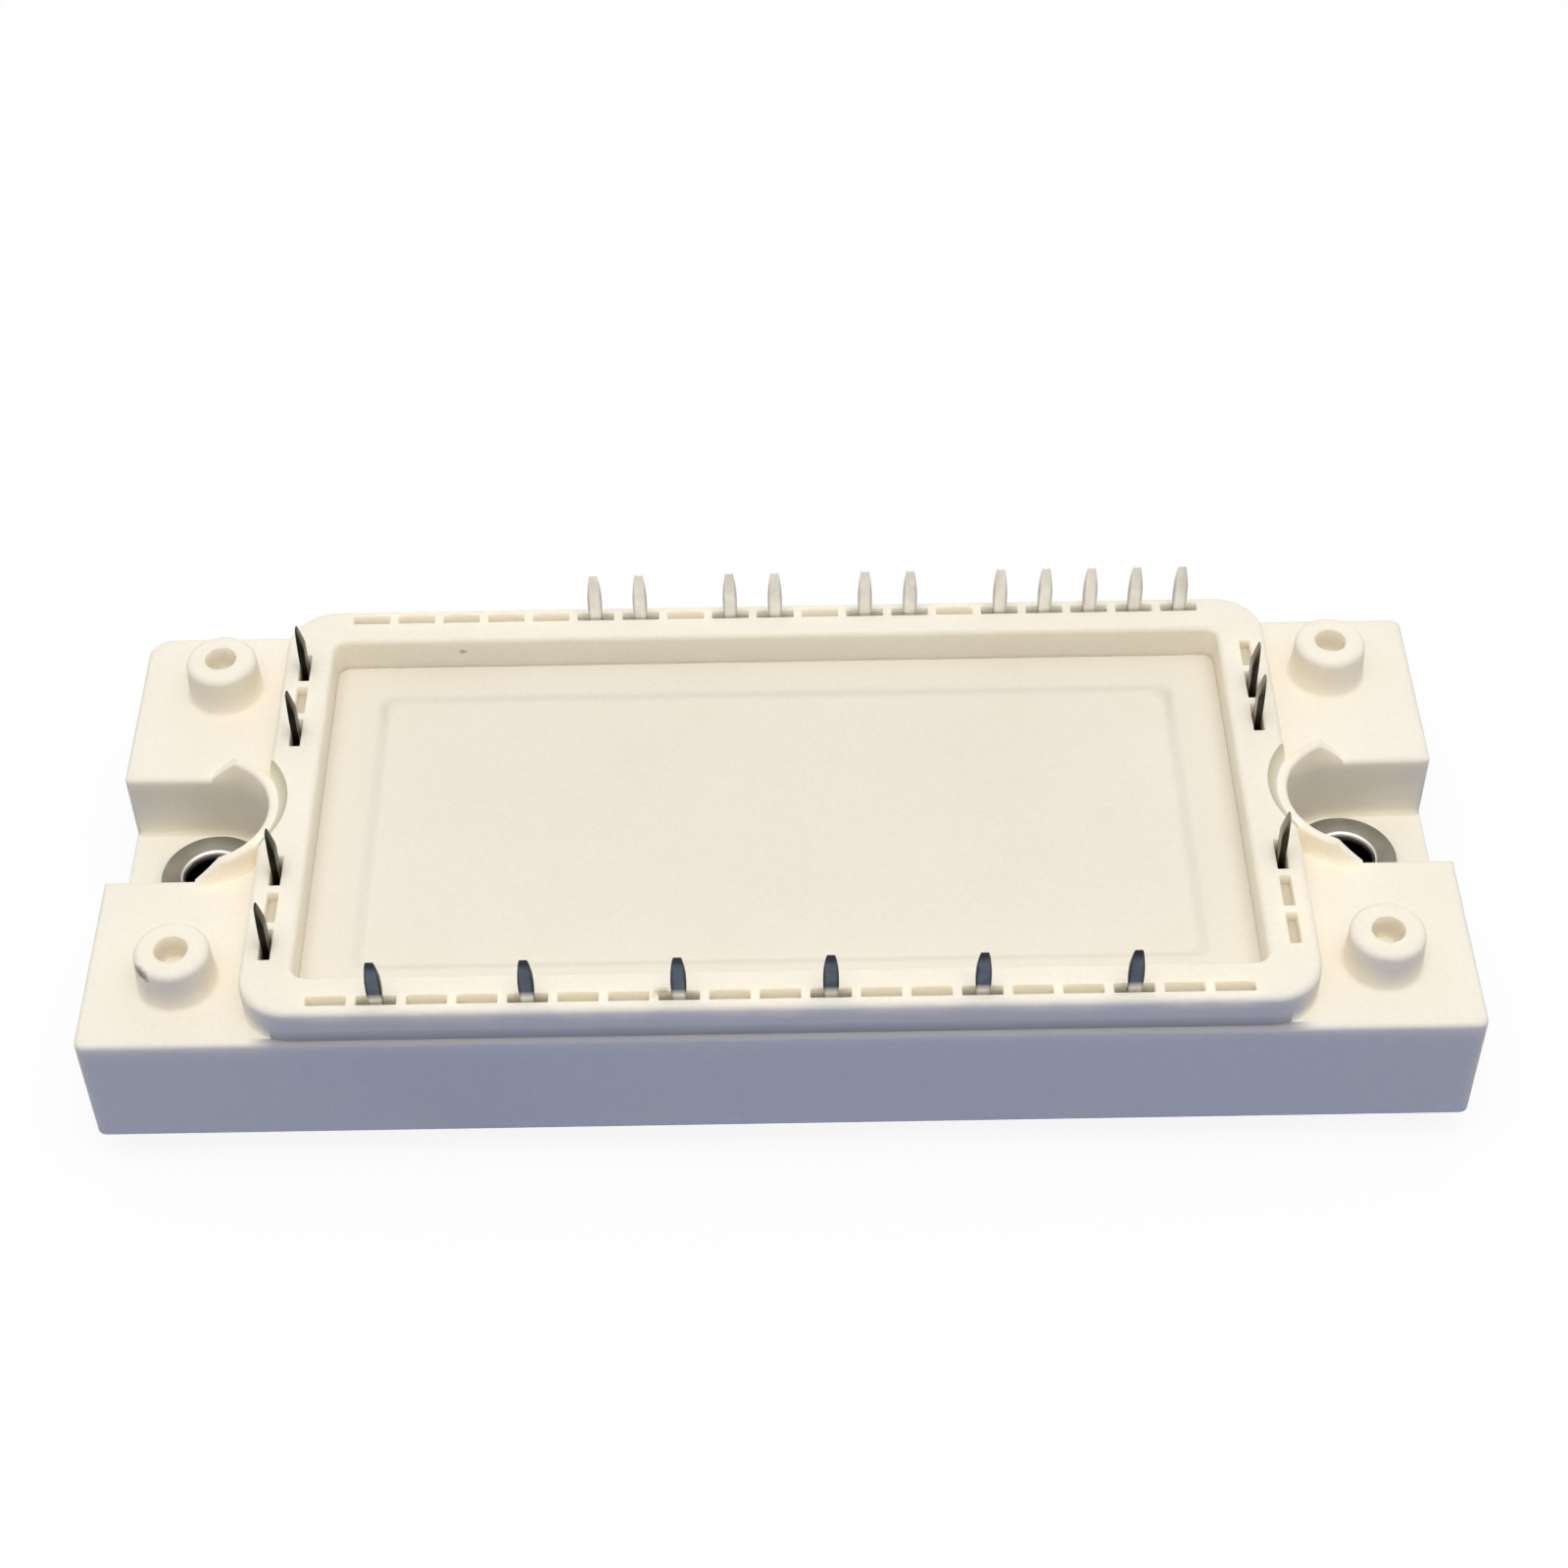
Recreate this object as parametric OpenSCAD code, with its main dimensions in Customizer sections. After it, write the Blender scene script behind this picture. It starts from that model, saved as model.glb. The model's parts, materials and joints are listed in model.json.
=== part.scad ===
// Power module with a three-phase bridge rectifier, a brake chopper and an inverter in one moulded case.
// Millimetres, +Z up, pins pointing up, length along X.
// The origin is the middle of the base plate's underside.

/* [Base plate] */
// Thickness of the base plate
base_t = 3; // [2:0.1:4]
// Step from the housing's outline in to the base plate's edge
base_inset = 2.4; // [1.5:0.1:3]
// Corner radius of the base plate
base_corner_r = 2.5; // [1:0.1:4]

/* [Housing] */
// Length of the housing
body_l = 107.5; // [105:0.5:112]
// Width of the housing
body_w = 45; // [44:0.1:48]
// Height of the end decks above the base plate
deck_h = 10.8; // [10:0.1:12]
// Corner radius of the housing in plan
body_corner_r = 0.8; // [0.7:0.1:3]
// Corner radius at the back left, rounder than the others
round_corner_r = 2; // [1:0.1:4]
// Rounding of the decks' top edges
deck_edge_r = 0.4; // [0.2:0.1:0.6]

/* [Raised frame] */
// Length of the end decks, from the housing's ends to the raised frame
deck_l = 12.55; // [12:0.05:13]
// Distance from the housing's long sides in to the raised frame
frame_inset = 0.3; // [0.2:0.05:0.6]
// Height of the raised frame above the decks
frame_h = 3.2; // [2.6:0.1:4]
// Corner radius of the raised frame in plan
frame_corner_r = 4; // [2:0.1:5]
// Rounding of the raised frame's top edge
frame_edge_r = 0.5; // [0.3:0.1:0.8]
// Width of the rim along the long sides
rim_side = 3.8; // [3.2:0.1:4.2]
// Width of the rim across the ends
rim_end = 4; // [3.6:0.1:4.4]
// Corner radius of the opening inside the rim
opening_corner_r = 1; // [0.5:0.1:2]
// Rounding of the rim's inner edge
rim_edge_r = 0.5; // [0.2:0.1:0.7]

/* [Lid] */
// Depth of the lid's top below the rim
lid_drop = 3.2; // [2:0.1:4]
// Thickness of the lid
lid_t = 1.5; // [1.2:0.1:2]
// Gap between the lid and the rim
lid_gap = 0.05; // [0.05:0.05:0.3]
// Width of the ledge that carries the lid
lid_ledge = 0.8; // [0.6:0.1:1.2]
// Width of the lid's level border along the long sides
border_side = 3; // [2:0.1:5]
// Width of the lid's level border across the ends
border_end = 3.6; // [2:0.1:6]
// Depth of the sunk panel in the lid
panel_depth = 0.6; // [0.3:0.1:0.9]
// Width in plan of the panel's sloping edge
panel_edge_w = 1.2; // [0.4:0.1:1.5]

/* [Inner shelf] */
// Height of the shelf for the pin feet above the base plate
shelf_h = 4; // [3:0.1:5]
// Width of the shelf
shelf_w = 2; // [1.7:0.1:2.6]

/* [Pin grid] */
// Distance from the frame's ends to the outermost slots of the rows
row_end = 6.91; // [6.5:0.01:7.3]
// Distance from the frame's long sides to the outermost slots of the columns
column_end = 6.96; // [6.6:0.01:7.4]
// Distance from the frame's long sides to the pin rows
row_inset = 1.245; // [1:0.005:1.6]
// Distance from the frame's ends to the pin columns
column_inset = 1.8; // [1.2:0.05:2.2]
// Length of a pin slot
slot_l = 3.1; // [2:0.1:3.4]
// Width of a pin slot
slot_w = 0.9; // [0.9:0.05:1.2]
// Depth of a slot that holds no pin
spare_slot_depth = 1; // [0.3:0.1:3]
// Depth of a slot round a pin
pin_slot_depth = 2; // [1:0.1:5]

/* [Pins] */
// Height of the pin tips above the rim
pin_rise = 4.55; // [3.5:0.05:5]
// Thickness of the pin strip
pin_t = 0.55; // [0.5:0.05:0.8]
// Width of the pin's shank
pin_w = 1.1; // [0.8:0.05:1.15]
// Greatest width of the blade above the rim
blade_w = 1.2; // [1.2:0.05:1.4]
// Height of the blade's widest place above the rim
swell_rise = 1.6; // [1:0.1:2]
// Radius of the blade's curved sides
blade_arc_r = 16; // [15:0.5:40]
// Width of the pin's tip
tip_w = 0.6; // [0.4:0.05:0.65]
// Length of the straight taper at the tip
tip_l = 0.3; // [0.2:0.1:0.6]
// Thickness of the pin's tip
tip_t = 0.15; // [0.1:0.05:0.3]
// Length of the slope that thins the tip from the inner side
chisel_l = 2; // [1.2:0.1:2.4]
// Length of the bonding pad at the pin's foot
pad_l = 1.6; // [1.2:0.1:1.7]
// Gap between a pin and the plastic round its shank
pin_gap = 0.05; // [0.02:0.01:0.1]

/* [Screw recesses] */
// Distance from the housing's ends to the mounting screws
hole_inset = 7.25; // [6.5:0.05:8]
// Diameter of the screw holes
hole_d = 4.8; // [4.4:0.1:5.6]
// Width of the screw recesses
recess_w = 11; // [10:0.1:11.6]
// Height of the recess floor above the base plate
recess_floor_h = 4.1; // [3:0.1:6]
// Rounding of the recess's edges along the deck and at the housing's end
recess_edge_r = 0.5; // [0.2:0.1:0.6]
// Wall of the collar round the recess
collar_t = 0.8; // [0.6:0.1:1.2]
// Depth of the collar's top below the rim
collar_drop = 0.9; // [0.5:0.1:1.5]
// Rounding of the collar's top edges
collar_edge_r = 0.3; // [0.1:0.1:0.5]

/* [Screw bushes] */
// Outside diameter of the bushes
bush_d = 8.6; // [7.6:0.1:9.4]
// Height of the bushes above the recess floor
bush_stand = 1.2; // [0.4:0.1:2]
// Gap between a bush and the housing
bush_gap = 0.05; // [0.02:0.01:0.1]
// Bevel at the mouth of the bush
bush_bevel = 0.2; // [0.1:0.1:0.6]

/* [Board posts] */
// Distance from the housing's ends to the posts
post_end_inset = 7.25; // [6.5:0.05:8]
// Distance from the housing's long sides to the posts
post_side_inset = 6.5; // [5.5:0.05:7.5]
// Diameter of a post at its top
post_top_d = 5.8; // [5:0.1:6]
// Diameter of a post at the deck
post_foot_d = 6.2; // [6.1:0.1:7.2]
// Rounding of a post's top edge
post_edge_r = 0.5; // [0.3:0.1:0.8]
// Radius of the fillet round a post's foot
post_fillet_r = 0.3; // [0.2:0.1:1]
// Height of the posts above the rim
post_over_rim = 0.5; // [0.2:0.1:1]
// Diameter of the wide mouth of a post's screw hole
post_hole_d = 2.6; // [2:0.1:3]
// Depth of the wide mouth of a post's screw hole
post_hole_depth = 2.4; // [1.5:0.1:4]
// Diameter of the pilot hole for the screw's thread below
post_pilot_d = 1.6; // [1.2:0.1:1.9]
// Depth of the pilot hole below the post's top
post_pilot_depth = 8; // [5:0.5:10]

/* [Ceramic plates] */
// Gap round and between the ceramic plates
plate_gap = 0.8; // [0.4:0.1:1.2]
// Thickness of a ceramic plate
ceramic_t = 0.4; // [0.25:0.05:0.7]
// Thickness of the copper under a ceramic plate
back_copper_t = 0.3; // [0.2:0.05:0.4]
// Thickness of the copper islands
track_t = 0.3; // [0.2:0.05:0.4]
// Bare ceramic left round the copper
copper_margin = 0.8; // [0.5:0.1:1]
// Gap between copper islands
track_gap = 0.8; // [0.5:0.1:1]
// Width of the row of gate islands
gate_row_w = 1.8; // [1.4:0.1:2]
// Length of a gate island
gate_island_l = 2; // [1.4:0.1:2.2]
// Width of the positive supply island
plus_bus_w = 8; // [7.6:0.1:8.4]
// Width of the negative supply island
minus_bus_w = 6; // [5:0.1:6.4]

/* [Chips] */
// Thickness of the silicon chips
chip_t = 0.2; // [0.1:0.05:0.3]
// Side of a rectifier diode
rectifier_side = 4.5; // [3:0.1:5]
// Side of an inverter transistor
transistor_side = 5.2; // [4:0.1:5.4]
// Side of a freewheel diode
freewheel_side = 3; // [2.4:0.1:3.2]
// Gap between a transistor and its freewheel diode
chip_gap = 0.7; // [0.4:0.1:1]
// Side of the brake transistor
brake_side = 4.8; // [3:0.1:5]
// Side of the brake diode
brake_diode_side = 3.2; // [2.4:0.1:4]
// Length of the thermistor
thermistor_l = 2; // [1.6:0.1:2.4]
// Width of the thermistor
thermistor_w = 1.2; // [0.8:0.1:1.3]
// Height of the thermistor
thermistor_h = 0.8; // [0.5:0.1:1]

/* [Bond wires] */
// Thickness of the bond wires
wire_t = 0.4; // [0.2:0.05:0.4]
// Height of a chip wire's loop above the chips
chip_wire_rise = 1.2; // [1:0.1:1.6]
// Height of a pin wire's loop above the pin feet
pin_wire_rise = 1; // [0.9:0.1:1.6]
// Length and height of the wires' slanting bends
wire_bend = 0.6; // [0.4:0.05:0.7]
// Distance between the two wires of a chip
wire_pair = 1.2; // [0.8:0.1:1.3]
// Distance from a wire's end to the edge of its island
wire_land = 0.8; // [0.6:0.05:0.9]

/* [Hidden] */
$fn = 48;
over = 1; // how far cutting shapes run past the surface
deck_z = base_t + deck_h;
rim_z = deck_z + frame_h;
shelf_z = base_t + shelf_h;
lid_top_z = rim_z - lid_drop;
lid_seat_z = lid_top_z - lid_t;
recess_z = base_t + recess_floor_h;
collar_z = rim_z - collar_drop;
bush_top_z = recess_z + bush_stand;
post_top_z = rim_z + post_over_rim;
tip_z = rim_z + pin_rise;

frame_l = body_l - 2 * deck_l;
frame_w = body_w - 2 * frame_inset;
opening = [frame_l - 2 * rim_end, frame_w - 2 * rim_side];
bonding_room = [for (s = opening) s - 2 * lid_ledge];
well = [for (s = bonding_room) s - 2 * shelf_w];

recess_r = recess_w / 2;
collar_r = recess_r + collar_t;
hole_x = body_l / 2 - hole_inset;
post_x = body_l / 2 - post_end_inset;
post_y = body_w / 2 - post_side_inset;
row_y = frame_w / 2 - row_inset;
column_x = frame_l / 2 - column_inset;
row_wall = row_y - bonding_room[1] / 2;
column_wall = column_x - bonding_room[0] / 2;

// Slots are numbered from the left in the rows and from the back in the columns.
ROW_SLOTS = 19;
pin_pitch = (frame_l - 2 * row_end) / (ROW_SLOTS - 1);
COLUMN_STEPS = [4, 3, 2, -2, -3, -4];
column_pitch = (frame_w / 2 - column_end) / COLUMN_STEPS[0];
FRONT_PINS = [1, 4, 7, 10, 13, 16];
BACK_PINS = [5, 6, 8, 9, 11, 12, 14, 15, 16, 17, 18];
LEFT_PINS = [0, 2, 3, 5];
RIGHT_PINS = [1, 2, 3];
THERMISTOR_SLOT = 13;
function slot_x(i) = (i - (ROW_SLOTS - 1) / 2) * pin_pitch;
function slot_y(i) = COLUMN_STEPS[i] * column_pitch;
function holds(list, i) = len([for (v = list) if (v == i) v]) > 0;

plate = [(well[0] - 3 * plate_gap) / 2, well[1] - 2 * plate_gap];
plate_x = (plate[0] + plate_gap) / 2;
copper = [for (s = plate) s - 2 * copper_margin];
ceramic_z = base_t + back_copper_t;
track_z = ceramic_z + ceramic_t;
chip_z = track_z + track_t;
wire_z = chip_z + chip_t;

// Rows of copper from the back to the front: gate islands, positive bus, middle islands, negative bus.
gate_y = copper[1] / 2 - gate_row_w / 2;
plus_y = copper[1] / 2 - gate_row_w - track_gap - plus_bus_w / 2;
minus_y = -copper[1] / 2 + minus_bus_w / 2;
middle_top = plus_y - plus_bus_w / 2 - track_gap;
middle_bottom = minus_y + minus_bus_w / 2 + track_gap;
middle_y = (middle_top + middle_bottom) / 2;
LEFT_COLUMNS = 4;
RIGHT_COLUMNS = 3;
function island_l(columns) = (copper[0] - (columns - 1) * track_gap) / columns;
function island_x(columns, c) = (c - (columns - 1) / 2) * (island_l(columns) + track_gap);
function left_x(c) = island_x(LEFT_COLUMNS, c) - plate_x;
function right_x(c) = island_x(RIGHT_COLUMNS, c) + plate_x;
function clamp_to(v, low, high) = max(low, min(high, v));
// The last back pin feeds the positive bus, so it has no gate island.
GATE_PINS = [for (i = BACK_PINS) if (i < ROW_SLOTS - 1) i];
gate_reach = copper[0] / 2 - gate_island_l / 2;
function gate_side(i) = slot_x(i) < 0 ? -plate_x : plate_x;
function gate_x(i) = clamp_to(slot_x(i), gate_side(i) - gate_reach, gate_side(i) + gate_reach);
thermistor_x = slot_x(THERMISTOR_SLOT);

chip_pair = transistor_side + chip_gap + freewheel_side;
transistor_dx = (transistor_side - chip_pair) / 2;
freewheel_dx = (chip_pair - freewheel_side) / 2;

IVORY = "#f1e9da";
LID_IVORY = "#efe7d6";
NICKEL = "#b9b6ad";
STEEL = "#8f8c84";
TIN = "#9a9ca3";
COPPER = "#b8734a";
ALUMINA = "#f4f2ee";
SILICON = "#4c5058";
ALUMINIUM = "#d0d2d4";

// Shapes that several pieces share

module both_ends() {
    children();
    mirror([1, 0, 0]) children();
}

module both_sides() {
    children();
    mirror([0, 1, 0]) children();
}

module rounded_plan(size, r) {
    square([size[0] - 2 * r, size[1]], center = true);
    square([size[0], size[1] - 2 * r], center = true);
    for (x = [-1, 1], y = [-1, 1])
        translate([x * (size[0] / 2 - r), y * (size[1] / 2 - r)]) circle(r);
}

// Half of a block's section, from its middle plane out to a side with a rounded top edge
module half_section(w, h, r) {
    square([w, h - r]);
    square([w - r, h]);
    translate([w - r, h - r]) circle(r);
}

module whole_section(w, h, r) {
    half_section(w / 2, h, r);
    mirror([1, 0]) half_section(w / 2, h, r);
}

// Block with round upright corners and a rounded top edge
module soft_block(size, h, corner_r, edge_r) {
    rotate([90, 0, 0])
        linear_extrude(size[1] - 2 * corner_r, center = true) whole_section(size[0], h, edge_r);
    rotate([90, 0, 90])
        linear_extrude(size[0] - 2 * corner_r, center = true) whole_section(size[1], h, edge_r);
    for (x = [-1, 1], y = [-1, 1])
        translate([x * (size[0] / 2 - corner_r), y * (size[1] / 2 - corner_r), 0])
            rotate_extrude() half_section(corner_r, h, edge_r);
}

// Half of an opening's section, from its middle plane out to a wall whose mouth at height h is rounded
module half_mouth(w, h, r) {
    square([w, h + over]);
    difference() {
        translate([0, h - r]) square([w + r, r + over]);
        translate([w + r, h - r]) circle(r);
    }
}

module whole_mouth(w, h, r) {
    half_mouth(w / 2, h, r);
    mirror([1, 0]) half_mouth(w / 2, h, r);
}

// Opening with round upright corners and a rounded mouth
module soft_opening(size, h, corner_r, edge_r) {
    rotate([90, 0, 0])
        linear_extrude(size[1] - 2 * corner_r, center = true) whole_mouth(size[0], h, edge_r);
    rotate([90, 0, 90])
        linear_extrude(size[0] - 2 * corner_r, center = true) whole_mouth(size[1], h, edge_r);
    for (x = [-1, 1], y = [-1, 1])
        translate([x * (size[0] / 2 - corner_r), y * (size[1] / 2 - corner_r), 0])
            rotate_extrude() half_mouth(corner_r, h, edge_r);
}

module slab(size, z, h) {
    translate([-size[0] / 2, -size[1] / 2, z]) cube([size[0], size[1], h]);
}

module chip(x, y, side) {
    translate([x, y, 0]) slab([side, side], chip_z, chip_t);
}

// Lens between two equal arcs, w across, standing on the Y axis
function lens_half(w, arc_r, y) = sqrt(arc_r * arc_r - y * y) - arc_r + w / 2;
module lens(w, arc_r) {
    shift = arc_r - w / 2;
    intersection() {
        translate([shift, 0]) circle(arc_r);
        translate([-shift, 0]) circle(arc_r);
    }
}

// Housing

// Block below the deck, with one corner rounder than the others
module body_block() {
    outline = [body_l, body_w];
    difference() {
        soft_block(outline, deck_h, body_corner_r, deck_edge_r);
        round_corner_room(round_corner_r);
    }
    intersection() {
        soft_block(outline, deck_h, round_corner_r, deck_edge_r);
        round_corner_room(round_corner_r + over);
    }
}

module round_corner_room(reach) {
    translate([-body_l / 2 - over, body_w / 2 - reach, -over])
        cube([reach + over, reach + over, deck_h + 2 * over]);
}

// Tapered post with a rounded top edge and a fillet at the deck; both arcs touch the slanting side
module board_post() {
    h = post_top_z - deck_z;
    foot = post_foot_d / 2;
    taper = (post_foot_d - post_top_d) / 2;
    side = norm([h, taper]);
    out = [h, taper] / side;
    edge = [foot - (post_edge_r * side + (h - post_edge_r) * taper) / h, h - post_edge_r];
    edge_end = edge + post_edge_r * out;
    fillet = [foot + post_fillet_r * (side - taper) / h, post_fillet_r];
    fillet_end = fillet - post_fillet_r * out;
    translate([post_x, post_y, deck_z]) rotate_extrude() {
        polygon([[0, -over], [foot, -over], [foot, 0], edge_end, [edge[0], h], [0, h]]);
        translate(edge) circle(post_edge_r);
        difference() {
            polygon([[0, -over], [fillet[0], -over], [fillet[0], 0], fillet_end, [0, fillet_end[1]]]);
            translate(fillet) circle(post_fillet_r);
        }
    }
}

module post_hole() {
    translate([post_x, post_y, post_top_z - post_hole_depth])
        cylinder(h = post_hole_depth + over, d = post_hole_d);
    translate([post_x, post_y, post_top_z - post_pilot_depth])
        cylinder(h = post_pilot_depth, d = post_pilot_d);
}

// Half ring on the inner side of the screw, with ends that slope down to the deck
module collar() {
    rise = collar_z - deck_z;
    slope = [[0, 0], [-rise, rise], [-collar_r - over, rise], [-collar_r - over, -over], [0, -over]];
    translate([hole_x, 0, 0]) intersection() {
        translate([0, 0, deck_z - over])
            rotate_extrude() half_section(collar_r, rise + over, collar_edge_r);
        translate([0, 0, deck_z])
            rotate([90, 0, 0]) linear_extrude(2 * collar_r + over, center = true) polygon(slope);
    }
}

// Slot for a screw head, open to the end of the housing, and the bevel that it leaves in the frame
module screw_recess() {
    deck_rise = deck_z - recess_z;
    translate([hole_x, 0, recess_z]) {
        rotate_extrude() half_mouth(recess_r, collar_z - recess_z, collar_edge_r);
        rotate([90, 0, 90]) linear_extrude(hole_inset + over) whole_mouth(recess_w, deck_rise, recess_edge_r);
    }
    both_sides() translate([body_l / 2 - recess_edge_r, recess_r, recess_z])
        linear_extrude(deck_rise + over) difference() {
            square([recess_edge_r + over, recess_edge_r]);
            translate([0, recess_edge_r]) circle(recess_edge_r);
        }
    translate([hole_x, 0, collar_z])
        cylinder(h = collar_drop + over, r1 = collar_r, r2 = collar_r + collar_drop + over);
    translate([hole_x, 0, base_t - over])
        cylinder(h = recess_floor_h + 2 * over, d = bush_d + 2 * bush_gap);
}

// Stepped room inside the frame: lid seat, bonding room above the shelf, and well round the plates
module inner_room() {
    translate([0, 0, lid_seat_z])
        soft_opening(opening, lid_drop + lid_t, opening_corner_r, rim_edge_r);
    slab(bonding_room, shelf_z, lid_seat_z - shelf_z + over);
    slab(well, base_t - over, shelf_h + 2 * over);
}

// Each place turns its children so that the module's middle lies towards -Y from the pin.
module at_front(i) {
    translate([slot_x(i), -row_y, 0]) rotate(180) children();
}

module at_back(i) {
    translate([slot_x(i), row_y, 0]) children();
}

module at_left(i) {
    translate([-column_x, slot_y(i), 0]) rotate(90) children();
}

module at_right(i) {
    translate([column_x, slot_y(i), 0]) rotate(-90) children();
}

module spare_slot() {
    slab([slot_l, slot_w], rim_z - spare_slot_depth, spare_slot_depth + over);
}

// Slot mouth, the passage for the shank, and the channel for the foot into the bonding room
module pin_nest(wall) {
    passage = [pin_w + 2 * pin_gap, pin_t + 2 * pin_gap];
    slab([slot_l, slot_w], rim_z - pin_slot_depth, pin_slot_depth + over);
    slab(passage, shelf_z, rim_z - shelf_z);
    translate([-passage[0] / 2, -wall - over, shelf_z])
        cube([passage[0], wall + over + passage[1] / 2, pin_t + pin_gap]);
}

module pin_slots() {
    for (i = [0:ROW_SLOTS - 1]) {
        at_front(i) if (holds(FRONT_PINS, i)) pin_nest(row_wall); else spare_slot();
        at_back(i) if (holds(BACK_PINS, i)) pin_nest(row_wall); else spare_slot();
    }
    for (i = [0:len(COLUMN_STEPS) - 1]) {
        at_left(i) if (holds(LEFT_PINS, i)) pin_nest(column_wall); else spare_slot();
        at_right(i) if (holds(RIGHT_PINS, i)) pin_nest(column_wall); else spare_slot();
    }
}

module housing() {
    color(IVORY) difference() {
        union() {
            translate([0, 0, base_t]) {
                body_block();
                soft_block([frame_l, frame_w], deck_h + frame_h, frame_corner_r, frame_edge_r);
            }
            both_ends() {
                collar();
                both_sides() board_post();
            }
        }
        inner_room();
        both_ends() {
            screw_recess();
            both_sides() post_hole();
        }
        pin_slots();
    }
}

// Lid with a sunk panel whose edges slope

module panel_cut(size) {
    module slope_section(w) {
        rise = panel_depth + over;
        spread = panel_edge_w * rise / panel_depth;
        foot = w / 2 - panel_edge_w;
        polygon([[-foot, 0], [foot, 0], [foot + spread, rise], [-foot - spread, rise]]);
    }
    translate([0, 0, lid_top_z - panel_depth]) intersection() {
        rotate([90, 0, 0]) linear_extrude(size[1] + 4 * over, center = true) slope_section(size[0]);
        rotate([90, 0, 90]) linear_extrude(size[0] + 4 * over, center = true) slope_section(size[1]);
    }
}

module lid() {
    outline = [for (s = opening) s - 2 * lid_gap];
    color(LID_IVORY) difference() {
        translate([0, 0, lid_seat_z])
            linear_extrude(lid_t) rounded_plan(outline, opening_corner_r - lid_gap);
        panel_cut([outline[0] - 2 * border_end, outline[1] - 2 * border_side]);
    }
}

// Base plate and bushes

module base_plate() {
    color(NICKEL) difference() {
        linear_extrude(base_t)
            rounded_plan([body_l - 2 * base_inset, body_w - 2 * base_inset], base_corner_r);
        both_ends() translate([hole_x, 0, -over]) cylinder(h = base_t + 2 * over, d = hole_d);
    }
}

module bush() {
    in = hole_d / 2;
    out = bush_d / 2;
    color(STEEL) translate([hole_x, 0, 0]) rotate_extrude() polygon([
        [in, base_t], [out, base_t], [out, bush_top_z],
        [in + bush_bevel, bush_top_z], [in, bush_top_z - bush_bevel]]);
}

module left_bush() {
    mirror([1, 0, 0]) bush();
}

module right_bush() {
    bush();
}

// Pin: blade that swells a little above the rim, and a foot bent inwards that lies on the shelf

module blade_outline() {
    swell_z = rim_z + swell_rise;
    tip_foot = tip_z - tip_l;
    tip_foot_half = lens_half(blade_w, blade_arc_r, tip_foot - swell_z);
    translate([-pin_w / 2, shelf_z]) square([pin_w, swell_z - shelf_z]);
    intersection() {
        translate([0, swell_z]) lens(blade_w, blade_arc_r);
        translate([-blade_w, shelf_z]) square([2 * blade_w, tip_foot - shelf_z]);
    }
    polygon([
        [-tip_foot_half, tip_foot], [tip_foot_half, tip_foot],
        [tip_w / 2, tip_z], [-tip_w / 2, tip_z]]);
}

// Side of the blade: flat on the outer face, sloping on the inner face to a thin tip
module blade_side() {
    face = pin_t / 2;
    polygon([[-face, shelf_z], [face, shelf_z], [face, tip_z], [face - tip_t, tip_z], [-face, tip_z - chisel_l]]);
}

module pin(wall) {
    foot_l = wall + pad_l;
    color(TIN) {
        intersection() {
            rotate([90, 0, 0]) linear_extrude(pin_t, center = true) blade_outline();
            rotate([90, 0, 90]) linear_extrude(2 * blade_w, center = true) blade_side();
        }
        translate([-pin_w / 2, -foot_l, shelf_z]) cube([pin_w, foot_l, pin_t]);
    }
}

// Ceramic plates with copper on both faces

module back_copper() {
    color(COPPER) slab(copper, base_t, back_copper_t);
}

module ceramic() {
    color(ALUMINA) slab(plate, ceramic_z, ceramic_t);
}

module left_back_copper() {
    translate([-plate_x, 0, 0]) back_copper();
}

module right_back_copper() {
    translate([plate_x, 0, 0]) back_copper();
}

module left_ceramic() {
    translate([-plate_x, 0, 0]) ceramic();
}

module right_ceramic() {
    translate([plate_x, 0, 0]) ceramic();
}

module gate_island(x) {
    translate([x, gate_y, 0]) slab([gate_island_l, gate_row_w], track_z, track_t);
}

module supply_and_middle_islands(columns) {
    translate([0, plus_y, 0]) slab([copper[0], plus_bus_w], track_z, track_t);
    translate([0, minus_y, 0]) slab([copper[0], minus_bus_w], track_z, track_t);
    for (c = [0:columns - 1])
        translate([island_x(columns, c), middle_y, 0])
            slab([island_l(columns), middle_top - middle_bottom], track_z, track_t);
}

module left_tracks() {
    color(COPPER) {
        translate([-plate_x, 0, 0]) supply_and_middle_islands(LEFT_COLUMNS);
        for (i = GATE_PINS) if (gate_side(i) < 0) gate_island(gate_x(i));
    }
}

module thermistor_pads() {
    pad = (thermistor_l - track_gap) / 2;
    for (side = [-1, 1])
        translate([thermistor_x + side * (thermistor_l - pad) / 2, gate_y, 0])
            slab([pad, gate_row_w], track_z, track_t);
}

module right_tracks() {
    color(COPPER) {
        translate([plate_x, 0, 0]) supply_and_middle_islands(RIGHT_COLUMNS);
        for (i = GATE_PINS) if (gate_side(i) > 0) gate_island(gate_x(i));
        thermistor_pads();
    }
}

// Chips

module rectifier_diodes() {
    color(SILICON) for (c = [0:2]) {
        chip(left_x(c), plus_y, rectifier_side);
        chip(left_x(c), middle_y, rectifier_side);
    }
}

module brake_diode() {
    color(SILICON) chip(left_x(3), plus_y, brake_diode_side);
}

module brake_transistor() {
    color(SILICON) chip(left_x(3), middle_y, brake_side);
}

module inverter_transistors() {
    color(SILICON) for (c = [0:2], y = [plus_y, middle_y])
        chip(right_x(c) + transistor_dx, y, transistor_side);
}

module freewheel_diodes() {
    color(SILICON) for (c = [0:2], y = [plus_y, middle_y])
        chip(right_x(c) + freewheel_dx, y, freewheel_side);
}

module thermistor() {
    color(SILICON) translate([thermistor_x, gate_y, 0])
        slab([thermistor_l, thermistor_w], chip_z, thermistor_h);
}

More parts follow.
